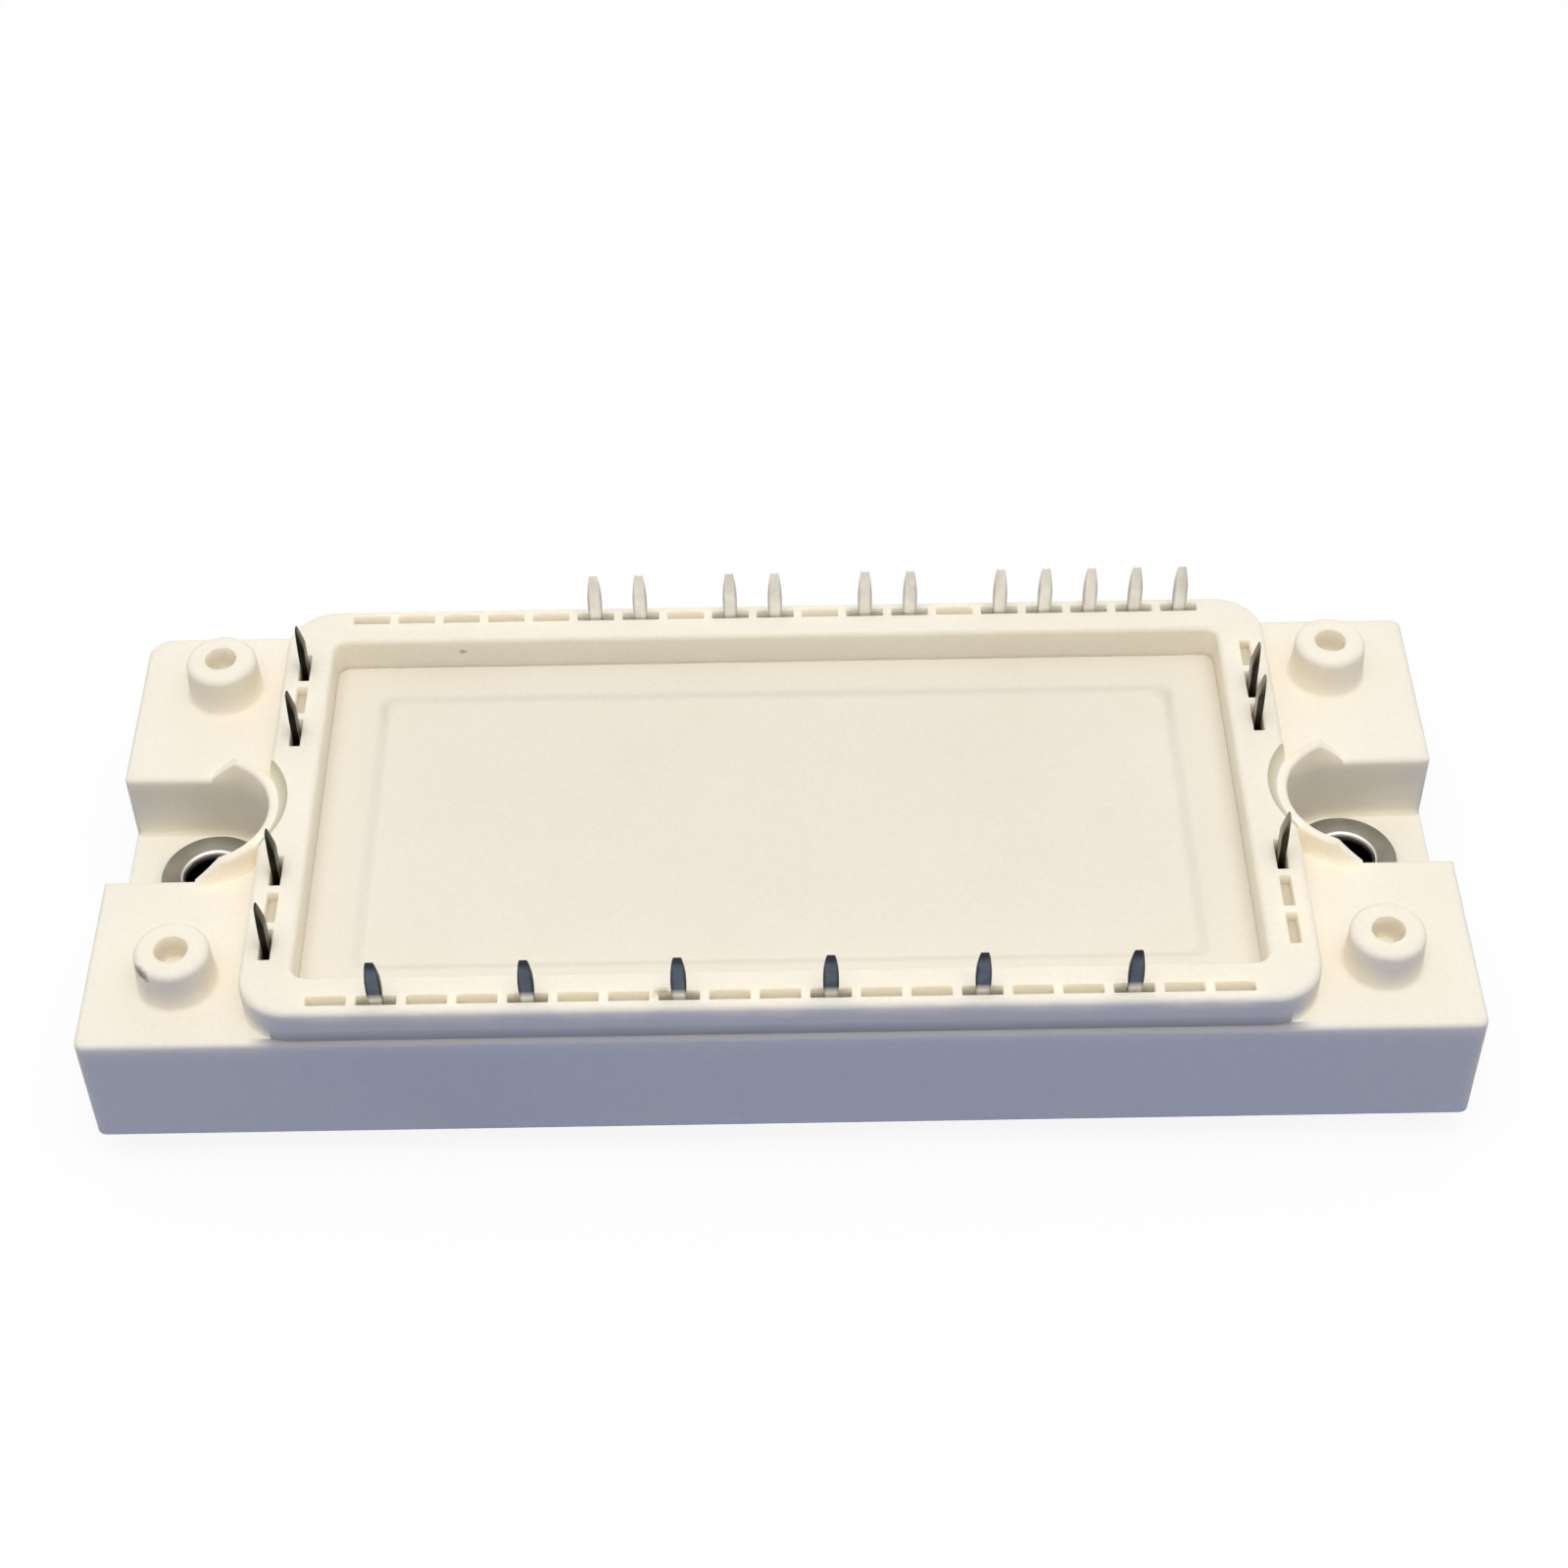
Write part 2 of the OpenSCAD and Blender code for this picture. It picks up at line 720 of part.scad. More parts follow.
// Bond wires: upright ends, slanting bends and a level run, square in section so that each is one prism

module bond_wire(from, to, top) {
    run = norm([to[0] - from[0], to[1] - from[1]]);
    h = wire_t / 2;
    bend_z = top - wire_bend;
    miter = h * tan(22.5);
    translate([from[0], from[1], 0]) rotate([90, 0, atan2(to[1] - from[1], to[0] - from[0])])
        linear_extrude(wire_t, center = true) polygon([
            [-h, from[2]], [-h, bend_z + miter], [wire_bend - miter, top + h],
            [run - wire_bend + miter, top + h], [run + h, bend_z + miter], [run + h, to[2]],
            [run - h, to[2]], [run - h, bend_z - miter], [run - wire_bend - miter, top - h],
            [wire_bend + miter, top - h], [h, bend_z - miter], [h, from[2]]]);
}

chip_wire_z = wire_z + chip_wire_rise;
pin_wire_z = shelf_z + pin_t + pin_wire_rise;

// Pair of wires from a chip's middle line to the island in front of it
module chip_wires(x, y, land_y) {
    for (wire_x = [x - wire_pair / 2, x + wire_pair / 2])
        bond_wire([wire_x, y, wire_z], [wire_x, land_y, chip_z], chip_wire_z);
}

middle_land = middle_top - wire_land;
minus_land = minus_y + minus_bus_w / 2 - wire_land;
front_land = middle_bottom + wire_land;
pad_z = shelf_z + pin_t;
pad_row_y = row_y - row_wall - pad_l / 2;
pad_column_x = column_x - column_wall - pad_l / 2;
edge_land_x = plate_x + copper[0] / 2 - wire_land;

// Free strip of a middle island where the wire from a front pin lands
function left_land_x(c) = left_x(c) + rectifier_side / 2;
function right_land_x(c) = right_x(c) + transistor_dx + (transistor_side + chip_gap) / 2;

// Wires from the outer end pins land near a supply island's outer edge, and the others near its inner edge.
plus_land = plus_bus_w / 2 - 2 * wire_land;
negative_land = minus_bus_w / 2 - 2 * wire_land;
function end_land(step) = step > 0
    ? plus_y + (step > 2 ? plus_land : -plus_land)
    : minus_y + (step < -2 ? -negative_land : negative_land);

module pin_wire(from, to) {
    bond_wire([from[0], from[1], pad_z], [to[0], to[1], chip_z], pin_wire_z);
}

module bond_wires() {
    color(ALUMINIUM) {
        for (c = [0:LEFT_COLUMNS - 1]) {
            chip_wires(left_x(c), plus_y, middle_land);
            chip_wires(left_x(c), middle_y, minus_land);
        }
        for (c = [0:RIGHT_COLUMNS - 1], dx = [transistor_dx, freewheel_dx]) {
            chip_wires(right_x(c) + dx, plus_y, middle_land);
            chip_wires(right_x(c) + dx, middle_y, minus_land);
        }
        for (c = [0:2]) {
            pin_wire([slot_x(FRONT_PINS[c]), -pad_row_y], [left_land_x(c), front_land]);
            pin_wire([slot_x(FRONT_PINS[c + 3]), -pad_row_y], [right_land_x(c), front_land]);
        }
        for (i = GATE_PINS)
            pin_wire([slot_x(i), pad_row_y], [gate_x(i), gate_y]);
        pin_wire([slot_x(ROW_SLOTS - 1), pad_row_y], [edge_land_x - 2 * wire_land, plus_y + plus_land]);
        for (i = LEFT_PINS)
            pin_wire([-pad_column_x, slot_y(i)], [-edge_land_x, end_land(COLUMN_STEPS[i])]);
        for (i = RIGHT_PINS)
            pin_wire([pad_column_x, slot_y(i)], [edge_land_x, end_land(COLUMN_STEPS[i])]);
    }
}

housing();
lid();
base_plate();
left_bush();
right_bush();
left_back_copper();
right_back_copper();
left_ceramic();
right_ceramic();
left_tracks();
right_tracks();
rectifier_diodes();
inverter_transistors();
freewheel_diodes();
brake_transistor();
brake_diode();
thermistor();
bond_wires();
for (i = [0:len(FRONT_PINS) - 1])
    at_front(FRONT_PINS[i]) pin(row_wall);
for (i = [0:len(BACK_PINS) - 1])
    at_back(BACK_PINS[i]) pin(row_wall);
for (i = [0:len(LEFT_PINS) - 1])
    at_left(LEFT_PINS[i]) pin(column_wall);
for (i = [0:len(RIGHT_PINS) - 1])
    at_right(RIGHT_PINS[i]) pin(column_wall);
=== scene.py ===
import json
import math

import bmesh
import bpy
from mathutils import Matrix, Vector


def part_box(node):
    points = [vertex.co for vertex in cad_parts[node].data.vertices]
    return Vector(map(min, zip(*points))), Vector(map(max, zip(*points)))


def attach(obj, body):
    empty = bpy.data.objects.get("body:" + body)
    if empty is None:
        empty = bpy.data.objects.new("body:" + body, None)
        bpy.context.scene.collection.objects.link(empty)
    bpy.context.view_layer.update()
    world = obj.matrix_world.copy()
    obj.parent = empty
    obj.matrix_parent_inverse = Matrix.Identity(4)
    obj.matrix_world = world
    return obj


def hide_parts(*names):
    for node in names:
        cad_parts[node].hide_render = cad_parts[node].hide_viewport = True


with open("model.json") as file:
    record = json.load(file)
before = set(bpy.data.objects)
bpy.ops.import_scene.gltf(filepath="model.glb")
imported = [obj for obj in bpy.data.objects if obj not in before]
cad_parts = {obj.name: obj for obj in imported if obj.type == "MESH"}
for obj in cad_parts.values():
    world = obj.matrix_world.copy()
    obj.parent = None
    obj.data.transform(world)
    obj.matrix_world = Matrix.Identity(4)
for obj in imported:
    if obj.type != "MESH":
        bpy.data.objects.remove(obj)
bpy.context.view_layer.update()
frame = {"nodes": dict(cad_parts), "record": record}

NODES = frame["nodes"]
MM = 0.001


# Sizes that several pieces share, in millimetres

def box_mm(node):
    """Lowest and highest corner of a CAD node, in millimetres."""
    return [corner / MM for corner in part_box(node)]


LID_LOW, LID_HIGH = box_mm("lid")
BUSH_LOW, BUSH_HIGH = box_mm("right_bush")
ROW_PIN_LOW, ROW_PIN_HIGH = box_mm("back_pin_1")
COLUMN_PIN_LOW, COLUMN_PIN_HIGH = box_mm("right_pin_1")

# Heights above the base plate's underside
SHELF_Z = ROW_PIN_LOW.z
LID_SEAT_Z = LID_LOW.z
LID_TOP_Z = LID_HIGH.z
RIM_Z = 17.0
TIP_Z = ROW_PIN_HIGH.z
BUSH_FOOT_Z = BUSH_LOW.z
BUSH_TOP_Z = BUSH_HIGH.z

# Depth of the lid's panel, radius and bevel of the bushes' holes, and thickness of the pins
PANEL_DEPTH = 0.6
BUSH_HOLE_R = 2.4
BUSH_BEVEL = 0.35
PIN_THICKNESS = 0.55

# Places in plan: the middle of the pins in the rows and in the columns, and the screws
ROW_Y = ROW_PIN_HIGH.y - PIN_THICKNESS / 2
COLUMN_X = COLUMN_PIN_HIGH.x - PIN_THICKNESS / 2
SCREW_X = (BUSH_LOW.x + BUSH_HIGH.x) / 2


# Node helpers

class Nodes:
    """Adds nodes to a tree and joins them in a line or two."""

    def __init__(self, tree):
        self.tree = tree

    def add(self, kind, inputs=None, **settings):
        made = self.tree.nodes.new(kind)
        for name, value in settings.items():
            setattr(made, name, value)
        for name, value in (inputs or {}).items():
            self.set(made, name, value)
        return made

    def set(self, made, name, value):
        socket = made.inputs[name]
        if isinstance(value, bpy.types.NodeSocket):
            self.tree.links.new(value, socket)
        else:
            socket.default_value = value

    def math(self, operation, a, b=0.0, c=0.0, clamp=False):
        made = self.add("ShaderNodeMath", {0: a, 1: b, 2: c}, operation=operation, use_clamp=clamp)
        return made.outputs[0]


# Numbers of a Mix node's sockets: the factor, the two numbers, the two colours, and what each pair gives
MIX_FACTOR = 0
MIX_NUMBERS = (2, 3)
MIX_COLOURS = (6, 7)
MIXED_NUMBER = 0
MIXED_COLOUR = 2

# Stretch of a noise's values that holds most of them, and one that leaves more of the dark tone
MIDDLE = (0.3, 0.7)
LONG_MIDDLE = (0.3, 0.75)


def metres(sizes):
    """Sizes in millimetres as metres."""
    return [size * MM for size in sizes]


def emptied(owner):
    """Helper for the node tree of a material or a world, with no nodes left in it."""
    owner.use_nodes = True
    owner.node_tree.nodes.clear()
    return Nodes(owner.node_tree)


def new_material(name):
    made = bpy.data.materials.new(name)
    nodes = emptied(made)
    surface = nodes.add("ShaderNodeBsdfPrincipled")
    nodes.add("ShaderNodeOutputMaterial", {"Surface": surface.outputs[0]})
    return made, nodes, surface


def object_place(nodes):
    return nodes.add("ShaderNodeTexCoord").outputs["Object"]


def axes_of(nodes, vector):
    return nodes.add("ShaderNodeSeparateXYZ", {"Vector": vector}).outputs


def length_of(nodes, vector):
    return nodes.add("ShaderNodeVectorMath", {0: vector}, operation="LENGTH").outputs["Value"]


def unsigned(nodes, value):
    return nodes.math("ABSOLUTE", value)


def noise(nodes, place, scale, detail=3.0):
    made = nodes.add("ShaderNodeTexNoise", {"Vector": place, "Scale": scale, "Detail": detail})
    return made.outputs["Fac"]


def span(nodes, value, low, high, to_low, to_high):
    made = nodes.add("ShaderNodeMapRange", {"Value": value, "From Min": low, "From Max": high,
                                            "To Min": to_low, "To Max": to_high})
    return made.outputs["Result"]


def tone_between(nodes, factor, dark, pale, stretch=MIDDLE):
    """A colour that runs from dark to pale over a stretch of a noise's values."""
    made = nodes.add("ShaderNodeValToRGB", {"Fac": factor})
    for element, position, colour in zip(made.color_ramp.elements, stretch, (dark, pale)):
        element.position = position
        element.color = (*colour, 1.0)
    return made.outputs["Color"]


def blend_colours(nodes, factor, a, b, mode="MIX"):
    made = nodes.add("ShaderNodeMix", {MIX_FACTOR: factor}, data_type="RGBA", blend_type=mode)
    for socket, value in zip(MIX_COLOURS, (a, b)):
        nodes.set(made, socket, value if isinstance(value, bpy.types.NodeSocket) else (*value, 1.0))
    return made.outputs[MIXED_COLOUR]


def blend_numbers(nodes, factor, a, b):
    made = nodes.add("ShaderNodeMix", {MIX_FACTOR: factor, MIX_NUMBERS[0]: a, MIX_NUMBERS[1]: b})
    return made.outputs[MIXED_NUMBER]


def bump(nodes, height, strength, distance, base=None):
    made = nodes.add("ShaderNodeBump", {"Height": height, "Strength": strength, "Distance": distance})
    if base:
        nodes.set(made, "Normal", base)
    return made.outputs["Normal"]


def screw_radius(nodes, axes):
    """Distance from the axis of the nearer screw."""
    across = nodes.math("SUBTRACT", unsigned(nodes, axes["X"]), SCREW_X * MM)
    flat = nodes.add("ShaderNodeCombineXYZ", {"X": across, "Y": axes["Y"]}).outputs[0]
    return length_of(nodes, flat)


# Wear and painted shade

# Stains: place and half sizes in millimetres, turn about Z in degrees, and colour
MARKS = (((-48.55, -18.0, 17.05), (1.1, 0.5, 0.5), 134, (0.10, 0.09, 0.07)),
         ((-26.5, 18.3, 15.6), (0.35, 0.3, 0.3), 0, (0.30, 0.25, 0.16)),
         ((-9.0, -20.6, 17.0), (0.8, 0.5, 0.3), 20, (0.50, 0.48, 0.30)))
# Scale of the noise that makes a stain ragged, how far it eats into the stain, the shares of the half size
# between which the stain fades, and how much it covers
RAGGED_SCALE = 2400.0
RAGGED_REACH = 1.2
MARK_FADE = (0.9, 1.7)
MARK_COVER = 0.85


def worn(nodes, place, tone):
    """The tone with small stains laid over it, ragged at their edges."""
    ragged = noise(nodes, place, RAGGED_SCALE)
    for spot, sizes, turn, colour in MARKS:
        around = {"Vector": place, "Location": metres(spot), "Rotation": (0.0, 0.0, math.radians(turn)),
                  "Scale": metres(sizes)}
        near = nodes.add("ShaderNodeMapping", around, vector_type="TEXTURE").outputs["Vector"]
        away = nodes.math("MULTIPLY_ADD", ragged, RAGGED_REACH, length_of(nodes, near))
        cover = span(nodes, away, *MARK_FADE, MARK_COVER, 0.0)
        tone = blend_colours(nodes, cover, tone, colour)
    return tone


# Slots of the pin grid, in millimetres: half width, stretch of a column that has slots, half length of a
# row, and depth of a slot without a pin
SLOT_HALF = 0.5
SLOTTED = (5.0, 18.0)
ROW_HALF = 37.0
SPARE_DEPTH = 1.0
# Painted shade in the slots, a paler layer over each slot and a dark one deep down beside a pin: the heights
# between which each thins out, how much each covers in the columns, its share in the rows, and their colours
SLOT_SHADE_Z = (RIM_Z - 2 * SPARE_DEPTH, RIM_Z - 0.1)
SLOT_DEEP_SHADE_Z = (RIM_Z - 1.6 * SPARE_DEPTH, RIM_Z - 1.04 * SPARE_DEPTH)
SLOT_SHADE_COVER = 0.95
SLOT_DEEP_SHADE_COVER = 0.9
ROW_SHADE_SHARE = 0.95
ROW_DEEP_SHADE_SHARE = 0.7
SLOT_SHADE = (0.34, 0.31, 0.20)
SLOT_DEEP_SHADE = (0.11, 0.095, 0.065)


def close_to(nodes, value, middle):
    """One inside the half width of a slot from a line and from its mirrored line, and none elsewhere."""
    off = nodes.math("SUBTRACT", unsigned(nodes, value), middle * MM)
    return nodes.math("LESS_THAN", unsigned(nodes, off), SLOT_HALF * MM)


def shaded_slots(nodes, place, tone):
    """The tone with painted shade in the slots of the pin grid, darkest deep down beside a pin."""
    axes = axes_of(nodes, place)
    along = unsigned(nodes, axes["Y"])
    in_column = nodes.math("MULTIPLY", nodes.math("GREATER_THAN", along, SLOTTED[0] * MM),
                           nodes.math("LESS_THAN", along, SLOTTED[1] * MM))
    in_column = nodes.math("MULTIPLY", in_column, close_to(nodes, axes["X"], COLUMN_X))
    in_row = nodes.math("LESS_THAN", unsigned(nodes, axes["X"]), ROW_HALF * MM)
    in_row = nodes.math("MULTIPLY", in_row, close_to(nodes, axes["Y"], ROW_Y))
    # Paints the shade in two layers: a paler one over the slot and a dark one deep down beside a pin
    for levels, cover, row_share, colour in ((SLOT_SHADE_Z, SLOT_SHADE_COVER, ROW_SHADE_SHARE, SLOT_SHADE),
                                             (SLOT_DEEP_SHADE_Z, SLOT_DEEP_SHADE_COVER, ROW_DEEP_SHADE_SHARE, SLOT_DEEP_SHADE)):
        deep = span(nodes, axes["Z"], *metres(levels), cover, 0.0)
        lying = nodes.math("MULTIPLY_ADD", in_row, row_share, in_column)
        tone = blend_colours(nodes, nodes.math("MULTIPLY", lying, deep), tone, colour)
    return tone


# Painted shade on the bevel that the frame has behind each collar: the bevel's radii round the screw, the
# radius and the height that keep the shade off the faces beside it, in millimetres, how much it covers at
# both radii, and its colour
BEVEL_R = (6.3, 7.2)
BEVEL_SHADE_R = 7.16
BEVEL_SHADE_Z = 16.13
BEVEL_COVER = (0.35, 0.95)
BEVEL_SHADE = (0.52, 0.47, 0.30)


def shaded_bevels(nodes, place, tone):
    """The tone with painted shade on the bevels behind the collars."""
    axes = axes_of(nodes, place)
    radius = screw_radius(nodes, axes)
    above = nodes.math("GREATER_THAN", axes["Z"], BEVEL_SHADE_Z * MM)
    within = nodes.math("LESS_THAN", radius, BEVEL_SHADE_R * MM)
    cover = span(nodes, radius, *metres(BEVEL_R), *BEVEL_COVER)
    cover = nodes.math("MULTIPLY", cover, nodes.math("MULTIPLY", above, within))
    return blend_colours(nodes, cover, tone, BEVEL_SHADE)


# Painted shade in the narrow step at the foot of the frame's long walls, in millimetres: where the walls
# stand, the stretch from the middle over which the shade ends, and the heights between which it thickens over
# the step's edge and thins up the wall; then how much it covers and its colour
STEP_Y = 21.9
STEP_ENDS = (38.5, 40.5)
STEP_SHADE_EDGE_Z = (13.4, 13.8)
STEP_SHADE_WALL_Z = (13.86, 15.0)
STEP_SHADE_COVER = 0.85
STEP_SHADE = (0.24, 0.245, 0.26)


def shaded_step(nodes, place, tone):
    """The tone with painted shade in the step at the foot of the frame's long walls."""
    axes = axes_of(nodes, place)
    cover = nodes.math("GREATER_THAN", unsigned(nodes, axes["Y"]), STEP_Y * MM)
    thick = span(nodes, axes["Z"], *metres(STEP_SHADE_EDGE_Z), 0.0, STEP_SHADE_COVER)
    thin = span(nodes, axes["Z"], *metres(STEP_SHADE_WALL_Z), 1.0, 0.0)
    cover = nodes.math("MULTIPLY", cover, nodes.math("MULTIPLY", thick, thin))
    ends = span(nodes, unsigned(nodes, axes["X"]), *metres(STEP_ENDS), 1.0, 0.0)
    return blend_colours(nodes, nodes.math("MULTIPLY", cover, ends), tone, STEP_SHADE)


# Painted shade on the slope at the back of the lid's panel, in millimetres: the stretch over which it
# thickens towards the back, where it ends, and half its length; then how much it covers and its colour
PANEL_SHADE_Y = (10.0, 14.0)
PANEL_SHADE_END = 16.0
PANEL_SHADE_HALF = 33.6
PANEL_SHADE_COVER = 0.3
PANEL_SHADE = (0.55, 0.51, 0.40)


def shaded_panel(nodes, place, tone):
    """The tone with painted shade on the slope at the back of the lid's panel."""
    axes = axes_of(nodes, place)
    off_middle = nodes.math("SUBTRACT", axes["Z"], (LID_TOP_Z - PANEL_DEPTH / 2) * MM)
    cover = span(nodes, unsigned(nodes, off_middle), 0.0, PANEL_DEPTH / 2 * MM, PANEL_SHADE_COVER, 0.0)
    back = span(nodes, axes["Y"], *metres(PANEL_SHADE_Y), 0.0, 1.0)
    back = nodes.math("MULTIPLY", back, nodes.math("LESS_THAN", axes["Y"], PANEL_SHADE_END * MM))
    inside = nodes.math("LESS_THAN", unsigned(nodes, axes["X"]), PANEL_SHADE_HALF * MM)
    cover = nodes.math("MULTIPLY", cover, nodes.math("MULTIPLY", back, inside))
    return blend_colours(nodes, cover, tone, PANEL_SHADE)


# Materials

# Moulded ivory: scale and detail of its clouds and of its grain, how the grain changes the tone and the
# clouds the roughness, how far red, green and blue light spread inside, and how the plastic bends light
IVORY_CLOUD = (70.0, 4.0)
IVORY_GRAIN = (2600.0, 2.0)
GRAIN_TONE = (0.975, 1.012)
IVORY_SHEEN = (-0.05, 0.07)
LIGHT_SPREAD = (1.0, 0.92, 0.8)
IVORY_IOR = 1.5
# In millimetres, the reach of that spread, the round on the edges and the height of the grain; then the
# samples that the round takes and the strength of the grain's bump
LIGHT_REACH = 2.0
EDGE_ROUND = 0.12
GRAIN_HEIGHT = 0.05
EDGE_SAMPLES = 4
GRAIN_STRENGTH = 0.12


def moulded_ivory(name, pale, warm, gloss, depth, layers):
    """Ivory plastic that lets light through a little, with a cloudy tone, a fine grain and layers of stains
    and painted shade.
    """
    made, nodes, surface = new_material(name)
    place = object_place(nodes)
    cloud = noise(nodes, place, *IVORY_CLOUD)
    grain = noise(nodes, place, *IVORY_GRAIN)
    tone = tone_between(nodes, cloud, warm, pale)
    tone = blend_colours(nodes, 1.0, tone, span(nodes, grain, *MIDDLE, *GRAIN_TONE), "MULTIPLY")
    for layer in layers:
        tone = layer(nodes, place, tone)
    nodes.set(surface, "Base Color", tone)
    surface.subsurface_method = "BURLEY"
    nodes.set(surface, "Subsurface Weight", depth)
    nodes.set(surface, "Subsurface Radius", LIGHT_SPREAD)
    nodes.set(surface, "Subsurface Scale", LIGHT_REACH * MM)
    nodes.set(surface, "Roughness", span(nodes, cloud, *MIDDLE, *[gloss + part for part in IVORY_SHEEN]))
    soft = nodes.add("ShaderNodeBevel", {"Radius": EDGE_ROUND * MM}, samples=EDGE_SAMPLES).outputs["Normal"]
    nodes.set(surface, "Normal", bump(nodes, grain, GRAIN_STRENGTH, GRAIN_HEIGHT * MM, soft))
    nodes.set(surface, "IOR", IVORY_IOR)
    return made


# Streaks that drawing or rolling leaves in a metal: scale, strength of their bump, and height in millimetres
STREAK_SCALE = 900.0
STREAK_STRENGTH = 0.15
STREAK_HEIGHT = 0.03


def streaks(nodes, place, stretch):
    drawn = nodes.add("ShaderNodeMapping", {"Vector": place, "Scale": stretch}).outputs["Vector"]
    return noise(nodes, drawn, STREAK_SCALE)


def streaked_metal(nodes, surface, tone, streak, roughness):
    """Sets a metal's tone, and lets the streaks change its roughness and its surface."""
    nodes.set(surface, "Base Color", tone)
    nodes.set(surface, "Metallic", 1.0)
    nodes.set(surface, "Roughness", span(nodes, streak, *MIDDLE, *roughness))
    nodes.set(surface, "Normal", bump(nodes, streak, STREAK_STRENGTH, STREAK_HEIGHT * MM))


# Nickel plate: stretch of its streaks, scale of its tarnish, its two tones, and how the streaks change tone
# and roughness
NICKEL_STRETCH = (0.08, 1.0, 1.0)
NICKEL_CLOUD = 260.0
NICKEL_DARK = (0.56, 0.53, 0.47)
NICKEL_PALE = (0.66, 0.63, 0.57)
NICKEL_STREAK = (0.78, 1.06)
NICKEL_ROUGHNESS = (0.27, 0.44)


def nickel_plate(name):
    """Plated metal with faint streaks and cloudy tarnish."""
    made, nodes, surface = new_material(name)
    place = object_place(nodes)
    streak = streaks(nodes, place, NICKEL_STRETCH)
    tone = tone_between(nodes, noise(nodes, place, NICKEL_CLOUD), NICKEL_DARK, NICKEL_PALE)
    tone = blend_colours(nodes, 1.0, tone, span(nodes, streak, *MIDDLE, *NICKEL_STREAK), "MULTIPLY")
    streaked_metal(nodes, surface, tone, streak, NICKEL_ROUGHNESS)
    return made


# Steel of the bushes: scale and detail of its clouds, its two tones, the painted highlight on the lip round
# the hole and the painted shade in the bore, the roughness between and on the rings, and how much smoother
# the lip is
STEEL_CLOUD = (500.0, 4.0)
STEEL_DARK = (0.255, 0.24, 0.20)
STEEL_PALE = (0.34, 0.318, 0.265)
LIP_HIGHLIGHT = (0.84, 0.82, 0.77)
BORE_SHADE = (0.012, 0.011, 0.010)
RING_ROUGHNESS = (0.46, 0.6)
LIP_POLISH = 0.22
# In millimetres, the pitch and height of the rings, the radii between which the lip's painted highlight ends,
# and the heights below which the bore's painted shade comes in; then the strength of the rings' bump
RING_PITCH = 0.16
RING_HEIGHT = 0.02
LIP_R = (BUSH_HOLE_R + BUSH_BEVEL - 0.12, BUSH_HOLE_R + BUSH_BEVEL)
BORE_Z = (BUSH_TOP_Z - 0.75, BUSH_TOP_Z - 0.5)
RING_STRENGTH = 0.2


def turned_steel(name):
    """Steel with the fine rings that a lathe leaves round each screw hole, a painted highlight on the lip and
    painted shade in the bore.
    """
    made, nodes, surface = new_material(name)
    place = object_place(nodes)
    axes = axes_of(nodes, place)
    radius = screw_radius(nodes, axes)
    rings = nodes.math("SINE", nodes.math("MULTIPLY", radius, 2 * math.pi / (RING_PITCH * MM)))
    tone = tone_between(nodes, noise(nodes, place, *STEEL_CLOUD), STEEL_DARK, STEEL_PALE, LONG_MIDDLE)
    inner = span(nodes, radius, *metres(LIP_R), 1.0, 0.0)
    tone = blend_colours(nodes, inner, tone, LIP_HIGHLIGHT)
    bore = nodes.math("MULTIPLY", span(nodes, axes["Z"], *metres(BORE_Z), 1.0, 0.0), inner)
    tone = blend_colours(nodes, bore, tone, BORE_SHADE)
    nodes.set(surface, "Base Color", tone)
    nodes.set(surface, "Metallic", 1.0)
    ringed = span(nodes, rings, -1.0, 1.0, *RING_ROUGHNESS)
    nodes.set(surface, "Roughness", nodes.math("MULTIPLY_ADD", inner, -LIP_POLISH, ringed))
    nodes.set(surface, "Normal", bump(nodes, rings, RING_STRENGTH, RING_HEIGHT * MM))
    return made


# Tin of the pins with its reflections painted in: dark and pale tone of the pale, the blue and the brown
# reflections, the painted shade at the edges of each, and the painted shade at a front pin's tip
PALE_REFLECTION_TIN = ((0.74, 0.74, 0.73), (0.92, 0.915, 0.90))
BLUE_REFLECTION_TIN = ((0.06, 0.072, 0.10), (0.13, 0.15, 0.19))
LEFT_BROWN_REFLECTION = ((0.03, 0.026, 0.017), (0.085, 0.075, 0.055))
RIGHT_BROWN_REFLECTION = ((0.15, 0.135, 0.10), (0.38, 0.345, 0.28))
PALE_EDGE_SHADE = (0.44, 0.43, 0.41)
BLUE_EDGE_SHADE = (0.02, 0.021, 0.024)
BROWN_EDGE_SHADE = (0.010, 0.009, 0.006)
TIP_SHADE = (0.012, 0.012, 0.012)
# In millimetres, the pitch of the pin grid, the stretch from the middle line over which a row begins, the
# distances from a pin's middle over which its painted edge shade comes in, and the heights over which a front
# pin's painted pale foot ends and its painted dark tip begins
PITCH = 3.81
ROW_BEGINS = (18.0, 19.0)
EDGE_FADE = (0.34, 0.54)
FOOT_FADE_Z = (RIM_Z + 0.35, RIM_Z + 1.05)
TIP_FADE_Z = (TIP_Z - 1.1, TIP_Z - 0.4)
# How much the edges, the foot and the tip cover, stretch of the streaks, scale of the clouds, and roughness
EDGE_COVER = 0.88
FOOT_COVER = 0.95
TIP_COVER = 0.75
TIN_STRETCH = (1.0, 1.0, 0.1)
TIN_CLOUD = 500.0
TIN_ROUGHNESS = (0.26, 0.42)


